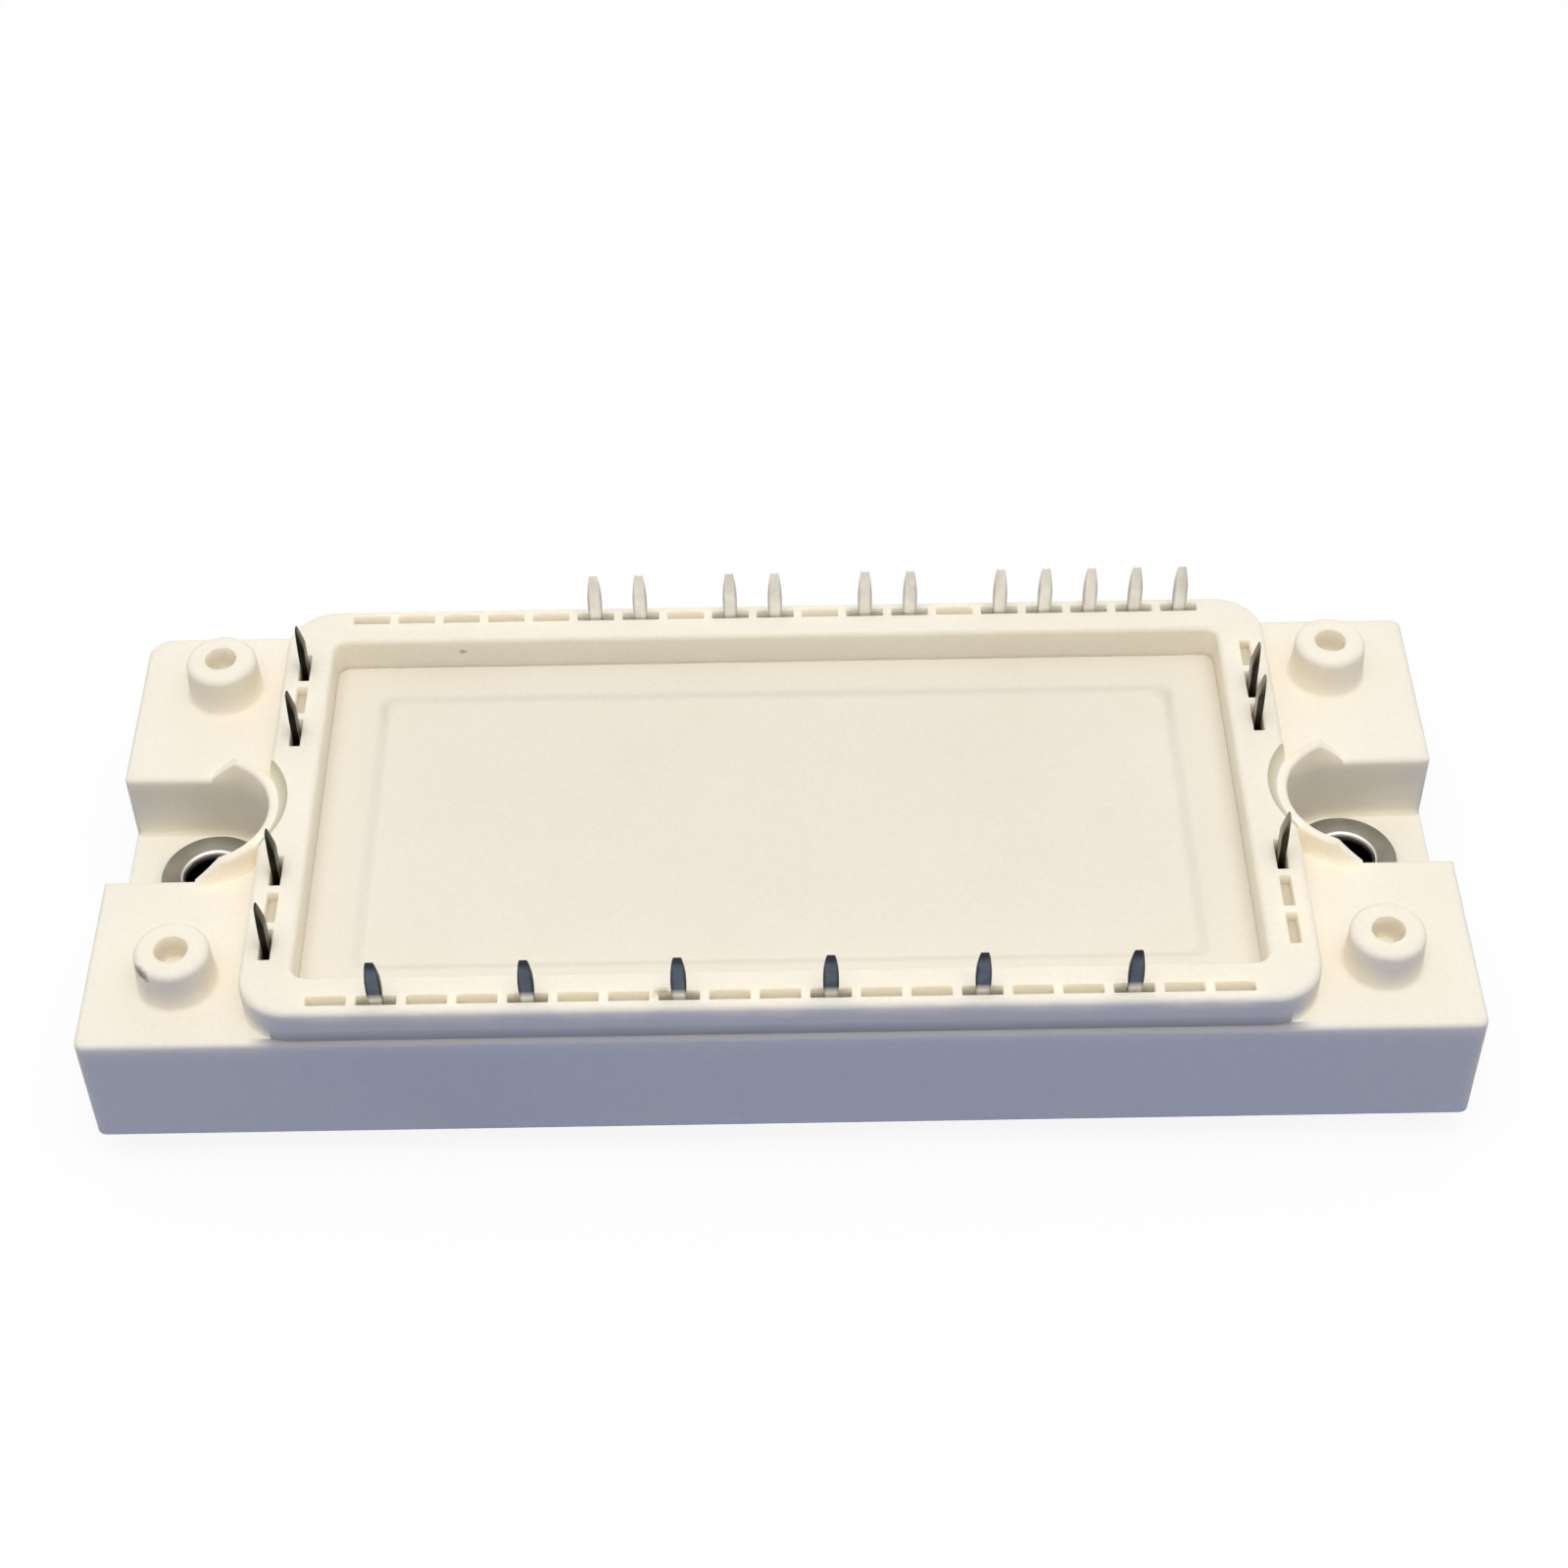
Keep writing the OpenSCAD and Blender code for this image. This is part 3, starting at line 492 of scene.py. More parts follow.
def tin_with_painted_reflections(name):
    """Tin with its reflections painted in: pale behind, blue in front, brown at the ends, and shaded edges.
    """
    made, nodes, surface = new_material(name)
    place = object_place(nodes)
    axes = axes_of(nodes, place)
    cloud = noise(nodes, place, TIN_CLOUD)
    at_back = span(nodes, axes["Y"], *metres(ROW_BEGINS), 0.0, 1.0)
    at_front = span(nodes, nodes.math("MULTIPLY", axes["Y"], -1.0), *metres(ROW_BEGINS), 0.0, 1.0)
    along = blend_numbers(nodes, nodes.math("ADD", at_back, at_front), axes["Y"], axes["X"])
    edge = span(nodes, nodes.math("PINGPONG", along, PITCH / 2 * MM), *metres(EDGE_FADE), 0.0, EDGE_COVER)
    bright = blend_colours(nodes, edge, tone_between(nodes, cloud, *PALE_REFLECTION_TIN), PALE_EDGE_SHADE)
    blue = blend_colours(nodes, edge, tone_between(nodes, cloud, *BLUE_REFLECTION_TIN, LONG_MIDDLE), BLUE_EDGE_SHADE)
    brown = blend_colours(nodes, nodes.math("GREATER_THAN", axes["X"], 0.0),
                          tone_between(nodes, cloud, *LEFT_BROWN_REFLECTION, LONG_MIDDLE),
                          tone_between(nodes, cloud, *RIGHT_BROWN_REFLECTION, LONG_MIDDLE))
    brown = blend_colours(nodes, edge, brown, BROWN_EDGE_SHADE)
    blue = blend_colours(nodes, span(nodes, axes["Z"], *metres(FOOT_FADE_Z), FOOT_COVER, 0.0), blue, bright)
    blue = blend_colours(nodes, span(nodes, axes["Z"], *metres(TIP_FADE_Z), 0.0, TIP_COVER), blue, TIP_SHADE)
    tone = blend_colours(nodes, at_front, brown, blue)
    tone = blend_colours(nodes, at_back, tone, bright)
    streaked_metal(nodes, surface, tone, streaks(nodes, place, TIN_STRETCH), TIN_ROUGHNESS)
    return made


# Pieces under the lid: scale of the clouds in their tone, and how these change the roughness
INNER_CLOUD = 400.0
INNER_SHEEN = (-0.06, 0.06)


def plain_inner(name, pale, dark, metallic, roughness):
    """Finish of a piece sealed under the lid."""
    made, nodes, surface = new_material(name)
    cloud = noise(nodes, object_place(nodes), INNER_CLOUD)
    nodes.set(surface, "Base Color", tone_between(nodes, cloud, dark, pale))
    nodes.set(surface, "Metallic", metallic)
    nodes.set(surface, "Roughness", span(nodes, cloud, *MIDDLE, *[roughness + part for part in INNER_SHEEN]))
    return made


# The housing's layers paint shade in its slots, on its bevels and in its step and lay stains over it; the
# lid's paints shade on its panel
HOUSING_IVORY = moulded_ivory("housing_ivory", pale=(0.945, 0.885, 0.765), warm=(0.92, 0.855, 0.725),
                              gloss=0.46, depth=0.7, layers=(shaded_slots, shaded_bevels, shaded_step, worn))
LID_IVORY = moulded_ivory("lid_ivory", pale=(0.85, 0.795, 0.685), warm=(0.83, 0.77, 0.655),
                          gloss=0.42, depth=0.0, layers=(shaded_panel,))
# Tin whose reflections and shade are painted in by where each pin stands
TIN = tin_with_painted_reflections("tin_with_painted_reflections")
NICKEL = nickel_plate("nickel_plate")
BUSH_STEEL = turned_steel("bush_steel")
# Finishes of the pieces under the lid, by the record's material slot
INNER_FINISH = {
    "copper": plain_inner("bare_copper", (0.80, 0.44, 0.29), (0.70, 0.36, 0.22), 1.0, 0.4),
    "alumina": plain_inner("white_ceramic", (0.88, 0.87, 0.84), (0.82, 0.81, 0.78), 0.0, 0.6),
    "silicon": plain_inner("silicon", (0.10, 0.11, 0.13), (0.05, 0.06, 0.08), 0.0, 0.2),
    "bond_aluminium": plain_inner("bond_aluminium", (0.80, 0.80, 0.81), (0.66, 0.66, 0.68), 1.0, 0.35)}


# Mesh helpers

# In millimetres, the distance under which the corners of a CAD copy's faces are joined
CORNER_REACH = 0.002
# Angle under which two faces count as one flat face
FLAT_ANGLE = math.radians(0.4)


def link(name, data):
    made = bpy.data.objects.new(name, data)
    bpy.context.scene.collection.objects.link(made)
    return made


def shaped(name, shape):
    """A new object from a mesh that has been drawn, which is then let go."""
    mesh = bpy.data.meshes.new(name)
    shape.to_mesh(mesh)
    shape.free()
    return link(name, mesh)


def work_in(made):
    """Works the object's modifiers into a plain mesh."""
    bpy.context.view_layer.update()
    mesh = bpy.data.meshes.new_from_object(made.evaluated_get(bpy.context.evaluated_depsgraph_get()))
    made.modifiers.clear()
    made.data = mesh


def soften(made, width, segments, angle):
    bevel = made.modifiers.new("soft_edges", "BEVEL")
    bevel.width = width * MM
    bevel.segments = segments
    bevel.limit_method = "ANGLE"
    bevel.angle_limit = math.radians(angle)
    bevel.use_clamp_overlap = False
    bevel.miter_outer = "MITER_ARC"
    work_in(made)


def shade(made, angle):
    for face in made.data.polygons:
        face.use_smooth = True
    made.data.set_sharp_from_angle(angle=math.radians(angle))


def place_piece(made, finish, slot, *nodes):
    made.data.materials.clear()
    made.data.materials.append(finish)
    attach(made, "root")
    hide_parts(*nodes)


def node_copy(node, name):
    """A copy of a CAD node whose faces share their corners."""
    shape = bmesh.new()
    shape.from_mesh(NODES[node].data)
    bmesh.ops.remove_doubles(shape, verts=shape.verts, dist=CORNER_REACH * MM)
    made = shaped(name, shape)
    attributes = made.data.attributes
    if "custom_normal" in attributes:
        attributes.remove(attributes["custom_normal"])
    return made


def flat_areas(shape):
    """Area of the flat patch that each face belongs to, by the face's index."""
    areas = {}
    for seed in shape.faces:
        if seed.index in areas:
            continue
        patch, front = {seed}, [seed]
        while front:
            for edge in front.pop().edges:
                if edge.is_manifold and edge.calc_face_angle() < FLAT_ANGLE:
                    fresh = set(edge.link_faces) - patch
                    patch |= fresh
                    front.extend(fresh)
        total = sum(face.calc_area() for face in patch)
        areas.update((face.index, total) for face in patch)
    return areas


def corner_fan(loop, sharp):
    """Faces round a corner that run on from the given one without a sharp edge."""
    found, front = {loop.face}, [loop.face]
    while front:
        face = front.pop()
        for edge in face.edges:
            if loop.vert in edge.verts and edge.is_manifold and edge.calc_face_angle() < sharp:
                fresh = set(edge.link_faces) - found
                found |= fresh
                front.extend(fresh)
    return found


def shade_by_flats(made, angle):
    """Smooth shading in which broad flat faces stay flat and the rounded edges between them run evenly."""
    shade(made, angle)
    shape = bmesh.new()
    shape.from_mesh(made.data)
    shape.normal_update()
    areas = flat_areas(shape)
    normals = []
    for face in shape.faces:
        for loop in face.loops:
            turned = Vector()
            for near in corner_fan(loop, math.radians(angle)):
                turned += near.normal * areas[near.index]
            normals.append(turned.normalized())
    shape.free()
    made.data.normals_split_custom_set(normals)


# Angles between faces, in degrees, from which the edge between them is shaded as sharp
CAD_SHARP = 32
LID_SHARP = 40
BUSH_SHARP = 30
PIN_SHARP = 40


# Housing

housing = node_copy("housing", "moulded_housing")
shade_by_flats(housing, CAD_SHARP)
place_piece(housing, HOUSING_IVORY, "housing_plastic", "housing")


# Lid: rings of a rounded rectangle from the underside's edge over the border and down into the sunk panel

# In millimetres, the gap round the CAD lid that is closed here, the lid's corner and edge rounds, the width
# of its border along and across, and the panel's sloping edge and corner round
LID_GAP = 0.05
LID_CORNER = 1.0
LID_EDGE = 0.01
BORDER = (3.6, 3.0)
PANEL_EDGE = 1.3
PANEL_CORNER = 1.2
# Steps of a rounded corner, of the lid's edge round and of the panel's slope
CORNER_STEPS = 8
EDGE_STEPS = 4
SLOPE_STEPS = 10


def rounded_ring(half_x, half_y, radius, z):
    ring = []
    for side_x, side_y, start in ((1, 1, 0), (-1, 1, 90), (-1, -1, 180), (1, -1, 270)):
        for step in range(CORNER_STEPS + 1):
            angle = math.radians(start + 90 * step / CORNER_STEPS)
            ring.append(Vector((side_x * (half_x - radius) + radius * math.cos(angle),
                                side_y * (half_y - radius) + radius * math.sin(angle), z)) * MM)
    return ring


def loft(name, rings):
    """A closed skin over rings with the same number of points."""
    shape = bmesh.new()
    loops = [[shape.verts.new(point) for point in ring] for ring in rings]
    for lower, upper in zip(loops, loops[1:]):
        for i in range(len(lower)):
            j = (i + 1) % len(lower)
            shape.faces.new((lower[i], lower[j], upper[j], upper[i]))
    shape.faces.new(list(reversed(loops[0])))
    shape.faces.new(loops[-1])
    return shaped(name, shape)


def lid_rings():
    half_x = LID_HIGH.x + LID_GAP
    half_y = LID_HIGH.y + LID_GAP
    rings = [rounded_ring(half_x, half_y, LID_CORNER, LID_SEAT_Z)]
    for step in range(EDGE_STEPS + 1):
        turn = math.radians(90 * step / EDGE_STEPS)
        inset = LID_EDGE * (1 - math.cos(turn))
        drop = LID_EDGE * (1 - math.sin(turn))
        rings.append(rounded_ring(half_x - inset, half_y - inset, LID_CORNER - inset, LID_TOP_Z - drop))
    for step in range(SLOPE_STEPS + 1):
        along = step / SLOPE_STEPS
        inset = PANEL_EDGE * along
        drop = PANEL_DEPTH * (1 - math.cos(math.pi * along)) / 2
        rings.append(rounded_ring(half_x - BORDER[0] - inset, half_y - BORDER[1] - inset, PANEL_CORNER,
                                  LID_TOP_Z - drop))
    return rings


lid = loft("sunk_lid", lid_rings())
shade(lid, LID_SHARP)
place_piece(lid, LID_IVORY, "lid_plastic", "lid")


# Bushes: turned profile swept round each screw axis

# In millimetres, a bush's radius and its outer edge's bevel; then where the bevel round the hole bends, as
# shares of its width and its depth, and the steps of a whole turn
BUSH_R = (BUSH_HIGH.x - BUSH_LOW.x) / 2
BUSH_EDGE = 0.06
BEVEL_BEND = (0.4, 0.3)
BUSH_STEPS = 72


def bush_profile():
    """Radius and height of each corner, from the hole's foot outwards and up, and back into the hole."""
    bend_r = BUSH_HOLE_R + BEVEL_BEND[0] * BUSH_BEVEL
    bend_z = BUSH_TOP_Z - BEVEL_BEND[1] * BUSH_BEVEL
    return ((BUSH_HOLE_R, BUSH_FOOT_Z), (BUSH_R, BUSH_FOOT_Z), (BUSH_R, BUSH_TOP_Z - BUSH_EDGE),
            (BUSH_R - BUSH_EDGE, BUSH_TOP_Z), (BUSH_HOLE_R + BUSH_BEVEL, BUSH_TOP_Z), (bend_r, bend_z),
            (BUSH_HOLE_R, BUSH_TOP_Z - BUSH_BEVEL))


def turned_bush(name, side):
    shape = bmesh.new()
    middle = Vector((side * SCREW_X, 0.0, 0.0))
    loops = []
    for step in range(BUSH_STEPS):
        angle = 2 * math.pi * step / BUSH_STEPS
        corners = [Vector((r * math.cos(angle), r * math.sin(angle), z)) for r, z in bush_profile()]
        loops.append([shape.verts.new((middle + corner) * MM) for corner in corners])
    for step in range(BUSH_STEPS):
        here, there = loops[step], loops[(step + 1) % BUSH_STEPS]
        for i in range(len(here)):
            j = (i + 1) % len(here)
            shape.faces.new((here[i], there[i], there[j], here[j]))
    bmesh.ops.recalc_face_normals(shape, faces=shape.faces)
    made = shaped(name, shape)
    shade(made, BUSH_SHARP)
    return made


for bush_name, side in (("left_bush", -1), ("right_bush", 1)):
    place_piece(turned_bush("turned_" + bush_name, side), BUSH_STEEL, "bush_steel", bush_name)


# Base plate

plate = node_copy("base_plate", "plated_base")
shade_by_flats(plate, CAD_SHARP)
place_piece(plate, NICKEL, "nickel_plate", "base_plate")


# Pins: one tree draws the blade and its foot, and sets a copy on each place

# Points round a blade's outline, points on each side of it, and how closely they crowd towards the tip
OUTLINE_POINTS = 96
SIDE_POINTS = OUTLINE_POINTS // 2
TOP_WEIGHT = 1.8
# Half width along the blade, from foot to tip, as shares of the blade's height and its greatest half width
BLADE_SHAPE = ((0.0, 0.917), (0.711, 0.917), (0.749, 0.974), (0.797, 1.0), (0.842, 0.978), (0.897, 0.89),
               (0.945, 0.759), (0.979, 0.634), (1.0, 0.5))
# In millimetres, the length of a foot in the rows and in the columns, the distance under which the blade's
# seams are joined, and the round on its edges; then the steps of that round and the angle of the edges that
# get it, in degrees
ROW_FOOT = ROW_Y - ROW_PIN_LOW.y
COLUMN_FOOT = COLUMN_X - COLUMN_PIN_LOW.x
SEAM_REACH = 0.001
PIN_EDGE = 0.05
PIN_EDGE_STEPS = 2
PIN_EDGE_ANGLE = 50
# Named inputs of the tree, in millimetres
PIN_SIZES = {"Shelf height": SHELF_Z, "Tip height": TIP_Z, "Blade width": 1.2, "Thickness": PIN_THICKNESS,
             "Tip thickness": 0.15, "Chisel length": 2.0, "Shank width": 1.1, "Foot length": ROW_FOOT}


def joined(nodes, *pieces):
    whole = nodes.add("GeometryNodeJoinGeometry")
    for piece in pieces:
        nodes.tree.links.new(piece, whole.inputs[0])
    return whole.outputs[0]


def blade_half(nodes, given, part):
    """Half width of the blade at a share of its height."""
    shape = nodes.add("ShaderNodeFloatCurve", {"Value": part})
    curve = shape.mapping.curves[0]
    while len(curve.points) < len(BLADE_SHAPE):
        curve.points.new(0.5, 0.5)
    for point, spot in zip(curve.points, BLADE_SHAPE):
        point.location = spot
        point.handle_type = "AUTO_CLAMPED"
    shape.mapping.update()
    return nodes.math("MULTIPLY", shape.outputs[0], nodes.math("MULTIPLY", given["Blade width"], 0.5))


def blade_outline(nodes, given):
    """The first half of a circle's points runs up the right side, and the rest runs down the left."""
    circle = nodes.add("GeometryNodeCurvePrimitiveCircle", {"Resolution": OUTLINE_POINTS, "Radius": 1.0})
    index = nodes.add("GeometryNodeInputIndex").outputs[0]
    going_up = nodes.math("LESS_THAN", index, SIDE_POINTS - 0.5)
    count = nodes.math("MINIMUM", index, nodes.math("SUBTRACT", OUTLINE_POINTS - 1.0, index))
    left = nodes.math("SUBTRACT", 1.0, nodes.math("DIVIDE", count, SIDE_POINTS - 1.0))
    part = nodes.math("SUBTRACT", 1.0, nodes.math("POWER", left, TOP_WEIGHT))
    side = nodes.math("SUBTRACT", nodes.math("MULTIPLY", going_up, 2.0), 1.0)
    across = nodes.math("MULTIPLY", blade_half(nodes, given, part), side)
    height = nodes.math("SUBTRACT", given["Tip height"], given["Shelf height"])
    level = nodes.math("MULTIPLY_ADD", part, height, given["Shelf height"])
    spot = nodes.add("ShaderNodeCombineXYZ", {"X": across, "Y": level}).outputs[0]
    outline = nodes.add("GeometryNodeSetPosition", {"Geometry": circle.outputs[0], "Position": spot})
    return outline.outputs[0]


def upright_blade(nodes, given):
    """The outline as a plate of the pin's thickness, stood on end."""
    filled = nodes.add("GeometryNodeFillCurve", {"Curve": blade_outline(nodes, given)}, mode="TRIANGLES")
    flat = filled.outputs[0]
    raised = nodes.add("GeometryNodeExtrudeMesh", {"Mesh": flat, "Offset": (0.0, 0.0, 1.0),
                                                   "Offset Scale": given["Thickness"], "Individual": False})
    under = nodes.add("GeometryNodeFlipFaces", {"Mesh": flat})
    shell = joined(nodes, raised.outputs[0], under.outputs[0])
    closed = nodes.add("GeometryNodeMergeByDistance", {"Geometry": shell, "Distance": SEAM_REACH * MM})
    half_thick = nodes.math("MULTIPLY", given["Thickness"], 0.5)
    middle = nodes.add("ShaderNodeCombineXYZ", {"Y": half_thick}).outputs[0]
    upright = nodes.add("GeometryNodeTransform", {"Geometry": closed.outputs[0], "Translation": middle,
                                                  "Rotation": (math.pi / 2, 0.0, 0.0)})
    return upright.outputs[0]


def chiselled(nodes, given, blade):
    """The blade with an inner face that slopes to a thin tip. Its outer face stays flat."""
    at = axes_of(nodes, nodes.add("GeometryNodeInputPosition").outputs[0])
    slope_foot = nodes.math("SUBTRACT", given["Tip height"], given["Chisel length"])
    above = nodes.math("SUBTRACT", at["Z"], slope_foot)
    along = nodes.math("DIVIDE", above, given["Chisel length"], clamp=True)
    lost = nodes.math("SUBTRACT", given["Thickness"], given["Tip thickness"])
    thinned = nodes.math("MULTIPLY", along, lost)
    inward = nodes.math("SUBTRACT", 0.5, nodes.math("DIVIDE", at["Y"], given["Thickness"]))
    moved = nodes.math("MULTIPLY_ADD", thinned, inward, at["Y"])
    spot = nodes.add("ShaderNodeCombineXYZ", {"X": at["X"], "Y": moved, "Z": at["Z"]}).outputs[0]
    return nodes.add("GeometryNodeSetPosition", {"Geometry": blade, "Position": spot}).outputs[0]


def inward_foot(nodes, given):
    """Strip that lies on the shelf and runs inwards from the blade."""
    half_thick = nodes.math("MULTIPLY", given["Thickness"], 0.5)
    length = nodes.math("SUBTRACT", given["Foot length"], half_thick)
    size = nodes.add("ShaderNodeCombineXYZ", {"X": given["Shank width"], "Y": length,
                                              "Z": given["Thickness"]})
    strip = nodes.add("GeometryNodeMeshCube", {"Size": size.outputs[0]})
    middle_y = nodes.math("SUBTRACT", nodes.math("MULTIPLY", length, -0.5), half_thick)
    middle_z = nodes.math("ADD", given["Shelf height"], half_thick)
    middle = nodes.add("ShaderNodeCombineXYZ", {"Y": middle_y, "Z": middle_z}).outputs[0]
    laid = nodes.add("GeometryNodeTransform", {"Geometry": strip.outputs[0], "Translation": middle})
    return laid.outputs[0]


def pin_tree():
    tree = bpy.data.node_groups.new("upright_pins", "GeometryNodeTree")
    face = tree.interface
    face.new_socket("Geometry", in_out="INPUT", socket_type="NodeSocketGeometry")
    for name, value in PIN_SIZES.items():
        socket = face.new_socket(name, in_out="INPUT", socket_type="NodeSocketFloat")
        socket.default_value = value * MM
    face.new_socket("Finish", in_out="INPUT", socket_type="NodeSocketMaterial")
    face.new_socket("Geometry", in_out="OUTPUT", socket_type="NodeSocketGeometry")
    nodes = Nodes(tree)
    given = nodes.add("NodeGroupInput").outputs
    blade = chiselled(nodes, given, upright_blade(nodes, given))
    pin = joined(nodes, inward_foot(nodes, given), blade)
    turn = nodes.add("GeometryNodeInputNamedAttribute", {"Name": "turn"}, data_type="FLOAT")
    facing = nodes.add("ShaderNodeCombineXYZ", {"Z": turn.outputs[0]})
    spread = nodes.add("GeometryNodeInstanceOnPoints", {"Points": given["Geometry"], "Instance": pin,
                                                        "Rotation": facing.outputs[0]})
    real = nodes.add("GeometryNodeRealizeInstances", {"Geometry": spread.outputs[0]})
    coated = nodes.add("GeometryNodeSetMaterial", {"Geometry": real.outputs[0], "Material": given["Finish"]})
    nodes.add("NodeGroupOutput", {"Geometry": coated.outputs[0]})
    return tree


PIN_TREE = pin_tree()


def pin_group(name, places, foot, nodes):
    """Sets pins on places given as x, y and turn, and works them into one mesh."""
    mesh = bpy.data.meshes.new(name)
    mesh.from_pydata([(x * MM, y * MM, 0.0) for x, y, _ in places], [], [])
    turns = mesh.attributes.new("turn", "FLOAT", "POINT")
    turns.data.foreach_set("value", [math.radians(turn) for _, _, turn in places])
    made = link(name, mesh)
    grown = made.modifiers.new("pins", "NODES")
    grown.node_group = PIN_TREE
    sizes = {**PIN_SIZES, "Foot length": foot}
    for item in PIN_TREE.interface.items_tree:
        if item.name in sizes:
            grown[item.identifier] = sizes[item.name] * MM
        elif item.name == "Finish":
            grown[item.identifier] = TIN
    work_in(made)
    soften(made, PIN_EDGE, PIN_EDGE_STEPS, PIN_EDGE_ANGLE)
    shade(made, PIN_SHARP)
    place_piece(made, TIN, "tin", *nodes)


def side_nodes(side):
    """Names of the CAD nodes of the pins on one side, in their order."""
    count = sum(node.startswith(f"{side}_pin_") for node in NODES)
    return [f"{side}_pin_{number}" for number in range(1, count + 1)]


def middle_of(node):
    low, high = box_mm(node)
    return (low + high) / 2


FRONT, BACK, LEFT, RIGHT = [side_nodes(side) for side in ("front", "back", "left", "right")]
ROW_PLACES = ([(middle_of(node).x, -ROW_Y, 180) for node in FRONT]
              + [(middle_of(node).x, ROW_Y, 0) for node in BACK])
COLUMN_PLACES = ([(-COLUMN_X, middle_of(node).y, 90) for node in LEFT]
                 + [(COLUMN_X, middle_of(node).y, -90) for node in RIGHT])
pin_group("row_pins", ROW_PLACES, ROW_FOOT, FRONT + BACK)
pin_group("column_pins", COLUMN_PLACES, COLUMN_FOOT, LEFT + RIGHT)


# Pieces sealed under the lid keep their CAD shape and get their finish

for part in frame["record"]["subparts"]:
    if part["material_slot"] in INNER_FINISH:
        inner_mesh = NODES[part["node"]].data
        inner_mesh.materials.clear()
        inner_mesh.materials.append(INNER_FINISH[part["material_slot"]])


# Floor, lights and camera, in metres

WHITE = (1.0, 1.0, 1.0, 1.0)
FLOOR_REACH = 1.5
# Tone of the floor that only diffuse light meets: in front of the object and behind it, past its two ends,
# and the distances from the middle, along the object and across it, over which the two blend
COOL_FLOOR = (0.03, 0.12, 0.49)
END_FLOOR = (0.24, 0.235, 0.20)
FADE_ALONG = (0.05, 0.09)
FADE_ACROSS = (0.03, 0.07)
# Share of plain white in the floor that the camera sees, near the object and far off, and where it changes
WHITE_SHARE = (0.88, 1.0)
WHITE_FADE = (0.15, 0.6)


def seen_directly(nodes):
    """One where the camera looks, straight or by way of a shiny or a clear surface, and none elsewhere."""
    path = nodes.add("ShaderNodeLightPath").outputs
    seen = nodes.math("MAXIMUM", path["Is Camera Ray"], path["Is Glossy Ray"])
    return nodes.math("MAXIMUM", seen, path["Is Transmission Ray"])


def floor_finish():
    """Pale floor that the camera sees as white, with the object's shadow kept faintly."""
    made = bpy.data.materials.new("pale_floor")
    nodes = emptied(made)
    place = object_place(nodes)
    axes = axes_of(nodes, place)
    past_ends = nodes.math("MULTIPLY", span(nodes, unsigned(nodes, axes["X"]), *FADE_ALONG, 0.0, 1.0),
                           span(nodes, unsigned(nodes, axes["Y"]), *FADE_ACROSS, 1.0, 0.0))
    tone = blend_colours(nodes, past_ends, COOL_FLOOR, END_FLOOR)
    met = nodes.add("ShaderNodeBsdfDiffuse", {"Color": tone})
    matt = nodes.add("ShaderNodeBsdfDiffuse", {"Color": WHITE})
    white = nodes.add("ShaderNodeEmission", {"Color": WHITE, "Strength": 1.0})
    share = span(nodes, length_of(nodes, place), *WHITE_FADE, *WHITE_SHARE)
    shown = nodes.add("ShaderNodeMixShader", {0: share, 1: matt.outputs[0], 2: white.outputs[0]})
    seen = seen_directly(nodes)
    mixed = nodes.add("ShaderNodeMixShader", {0: seen, 1: met.outputs[0], 2: shown.outputs[0]})
    nodes.add("ShaderNodeOutputMaterial", {"Surface": mixed.outputs[0]})
    return made


def pale_floor():
    mesh = bpy.data.meshes.new("floor")
    corners = [(x * FLOOR_REACH, y * FLOOR_REACH, 0) for x, y in ((-1, -1), (1, -1), (1, 1), (-1, 1))]
    mesh.from_pydata(corners, [], [(0, 1, 2, 3)])
    made = link("floor", mesh)
    made.data.materials.append(floor_finish())


# Levels of the sky right overhead and low down behind the object, how fast each falls off from there up or
# down, and the stretch of directions from front to back over which the glow comes up
OVERHEAD_SKY = 1.13
BACK_GLOW = 0.9
SKY_FALL = 2.0
GLOW_RISE = (-0.4, 0.3)


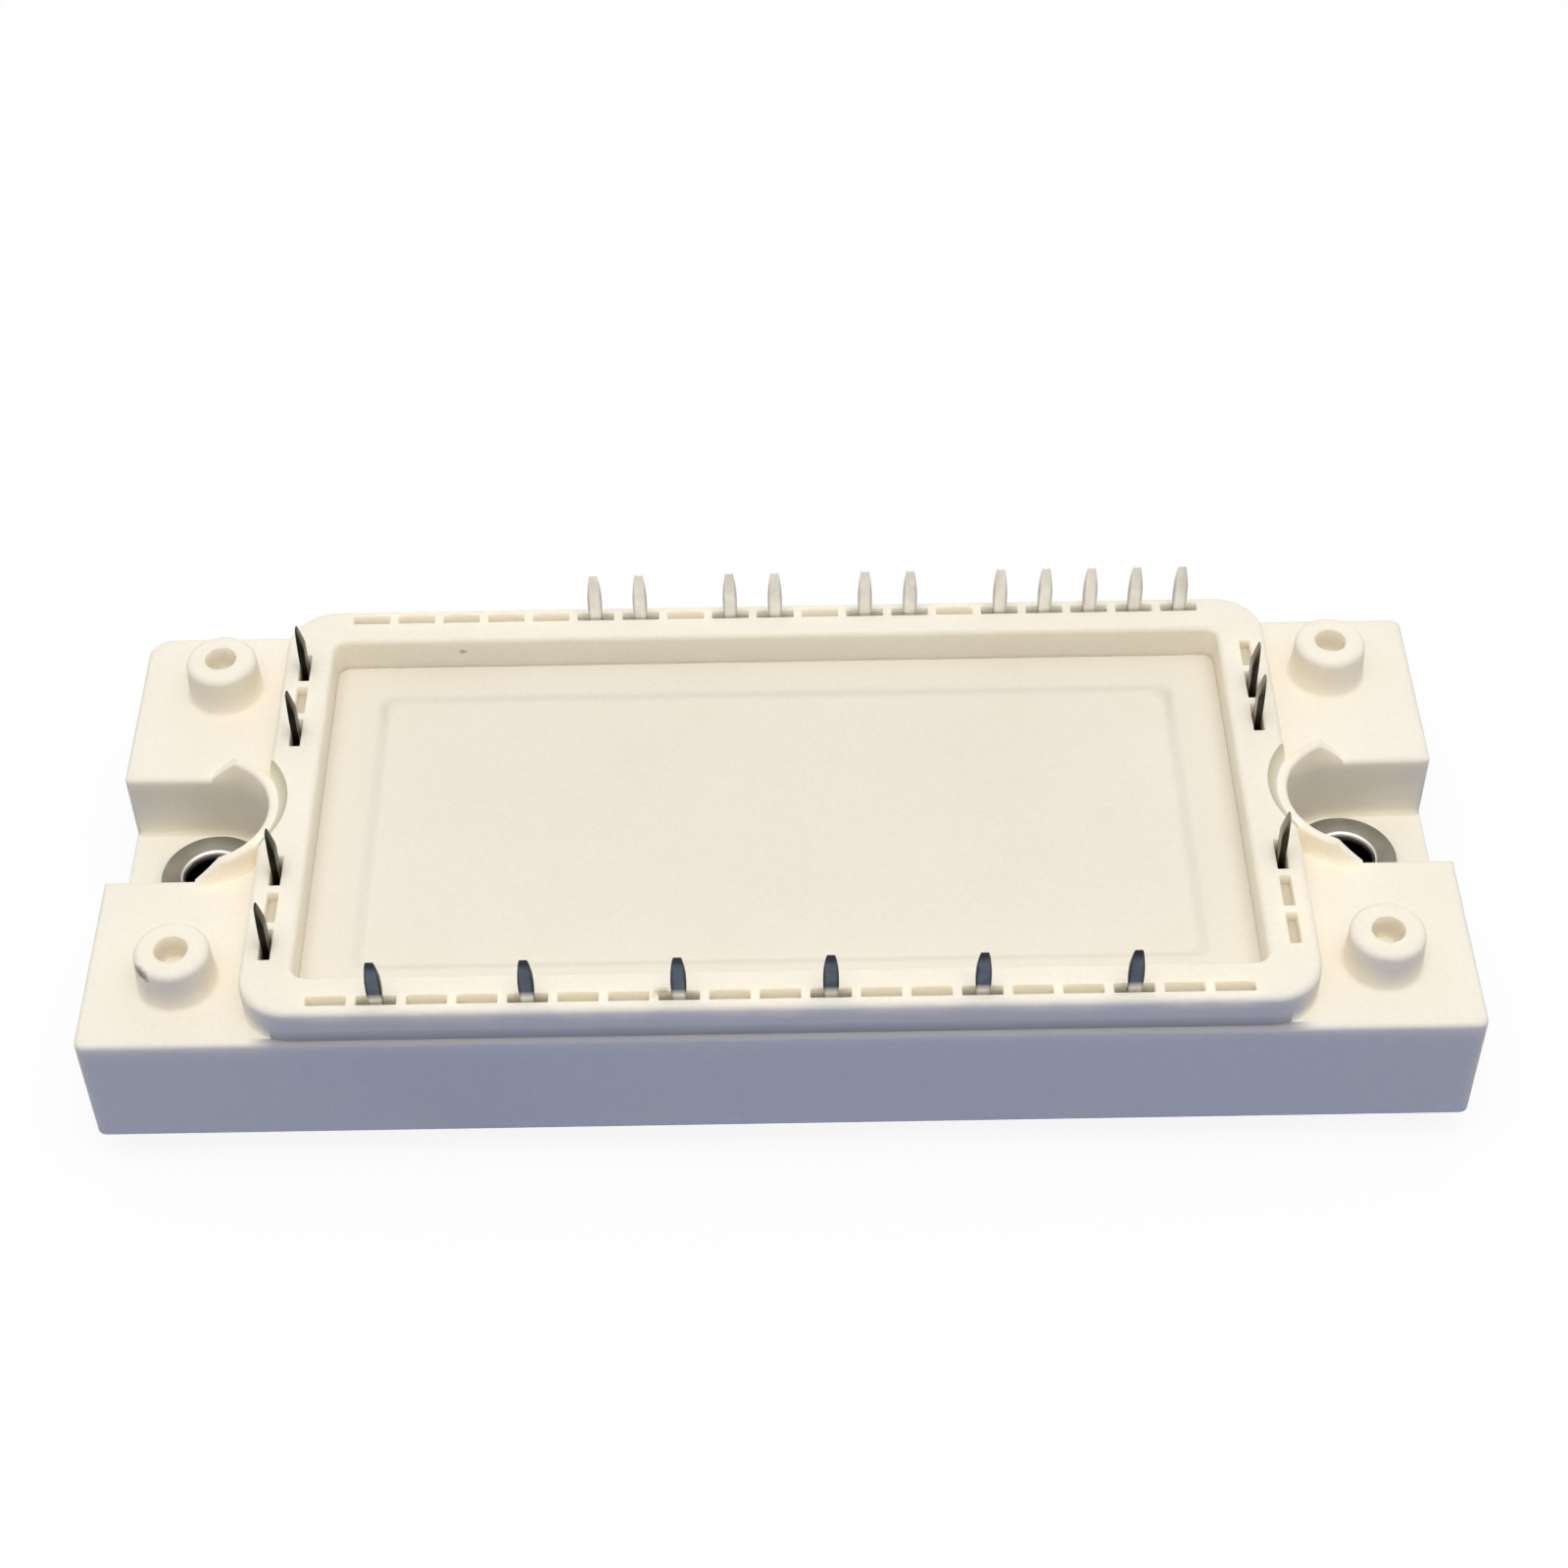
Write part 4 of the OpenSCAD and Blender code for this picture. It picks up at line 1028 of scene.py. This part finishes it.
def studio_world():
    """Sky that is brightest overhead and low down behind the object, and that the camera sees as white."""
    world = bpy.data.worlds.new("studio")
    bpy.context.scene.world = world
    nodes = emptied(world)
    toward = axes_of(nodes, nodes.add("ShaderNodeTexCoord").outputs["Generated"])
    height = nodes.math("MAXIMUM", toward["Z"], 0.0)
    low = nodes.math("POWER", nodes.math("SUBTRACT", 1.0, height), SKY_FALL)
    glow = nodes.math("MULTIPLY", low, span(nodes, toward["Y"], *GLOW_RISE, 0.0, BACK_GLOW))
    level = nodes.math("MULTIPLY_ADD", nodes.math("POWER", height, SKY_FALL), OVERHEAD_SKY, glow)
    fill = nodes.add("ShaderNodeBackground", {"Color": WHITE, "Strength": level})
    white = nodes.add("ShaderNodeBackground", {"Color": WHITE, "Strength": 1.0})
    seen = seen_directly(nodes)
    mixed = nodes.add("ShaderNodeMixShader", {0: seen, 1: fill.outputs[0], 2: white.outputs[0]})
    nodes.add("ShaderNodeOutputWorld", {"Surface": mixed.outputs[0]})


# Lamp over the object: place, width and depth, power in watts, and colour
LAMP_PLACE = Vector((0.02, -0.16, 0.64))
LAMP_SIZE = (0.6, 0.5)
LAMP_POWER = 1.95
LAMP_COLOUR = (1.0, 0.99, 0.97)


def soft_lamp():
    """Lamp that shines on the middle of the object."""
    lamp = bpy.data.lights.new("overhead", "AREA")
    lamp.shape = "RECTANGLE"
    lamp.size, lamp.size_y = LAMP_SIZE
    lamp.energy = LAMP_POWER
    lamp.color = LAMP_COLOUR
    made = link("overhead", lamp)
    made.location = LAMP_PLACE
    made.rotation_euler = (-LAMP_PLACE).to_track_quat("-Z", "Y").to_euler()


# Camera that was fitted to the photograph: place, aim and roll, lens and sensor in millimetres, and reach
CAMERA_PLACE = Vector((0.64, -164.04, 189.24)) * MM
CAMERA_AIM = Vector((0.52, 6.66, 10.97)) * MM
CAMERA_ROLL = math.radians(-0.978)
CAMERA_LENS = 68.117
CAMERA_SENSOR = 36.0
CAMERA_REACH = (0.01, 20.0)


def photo_camera():
    data = bpy.data.cameras.new("photo_camera")
    data.lens = CAMERA_LENS
    data.sensor_width = CAMERA_SENSOR
    data.clip_start, data.clip_end = CAMERA_REACH
    made = link("photo_camera", data)
    ahead = (CAMERA_AIM - CAMERA_PLACE).normalized()
    right = ahead.cross(Vector((0, 0, 1))).normalized()
    up = right.cross(ahead)
    rolled_right = right * math.cos(CAMERA_ROLL) + up * math.sin(CAMERA_ROLL)
    rolled_up = up * math.cos(CAMERA_ROLL) - right * math.sin(CAMERA_ROLL)
    turn = Matrix((rolled_right, rolled_up, -ahead)).transposed()
    made.matrix_world = Matrix.Translation(CAMERA_PLACE) @ turn.to_4x4()
    bpy.context.scene.camera = made


pale_floor()
studio_world()
soft_lamp()
photo_camera()
bpy.context.scene.view_settings.view_transform = "Standard"
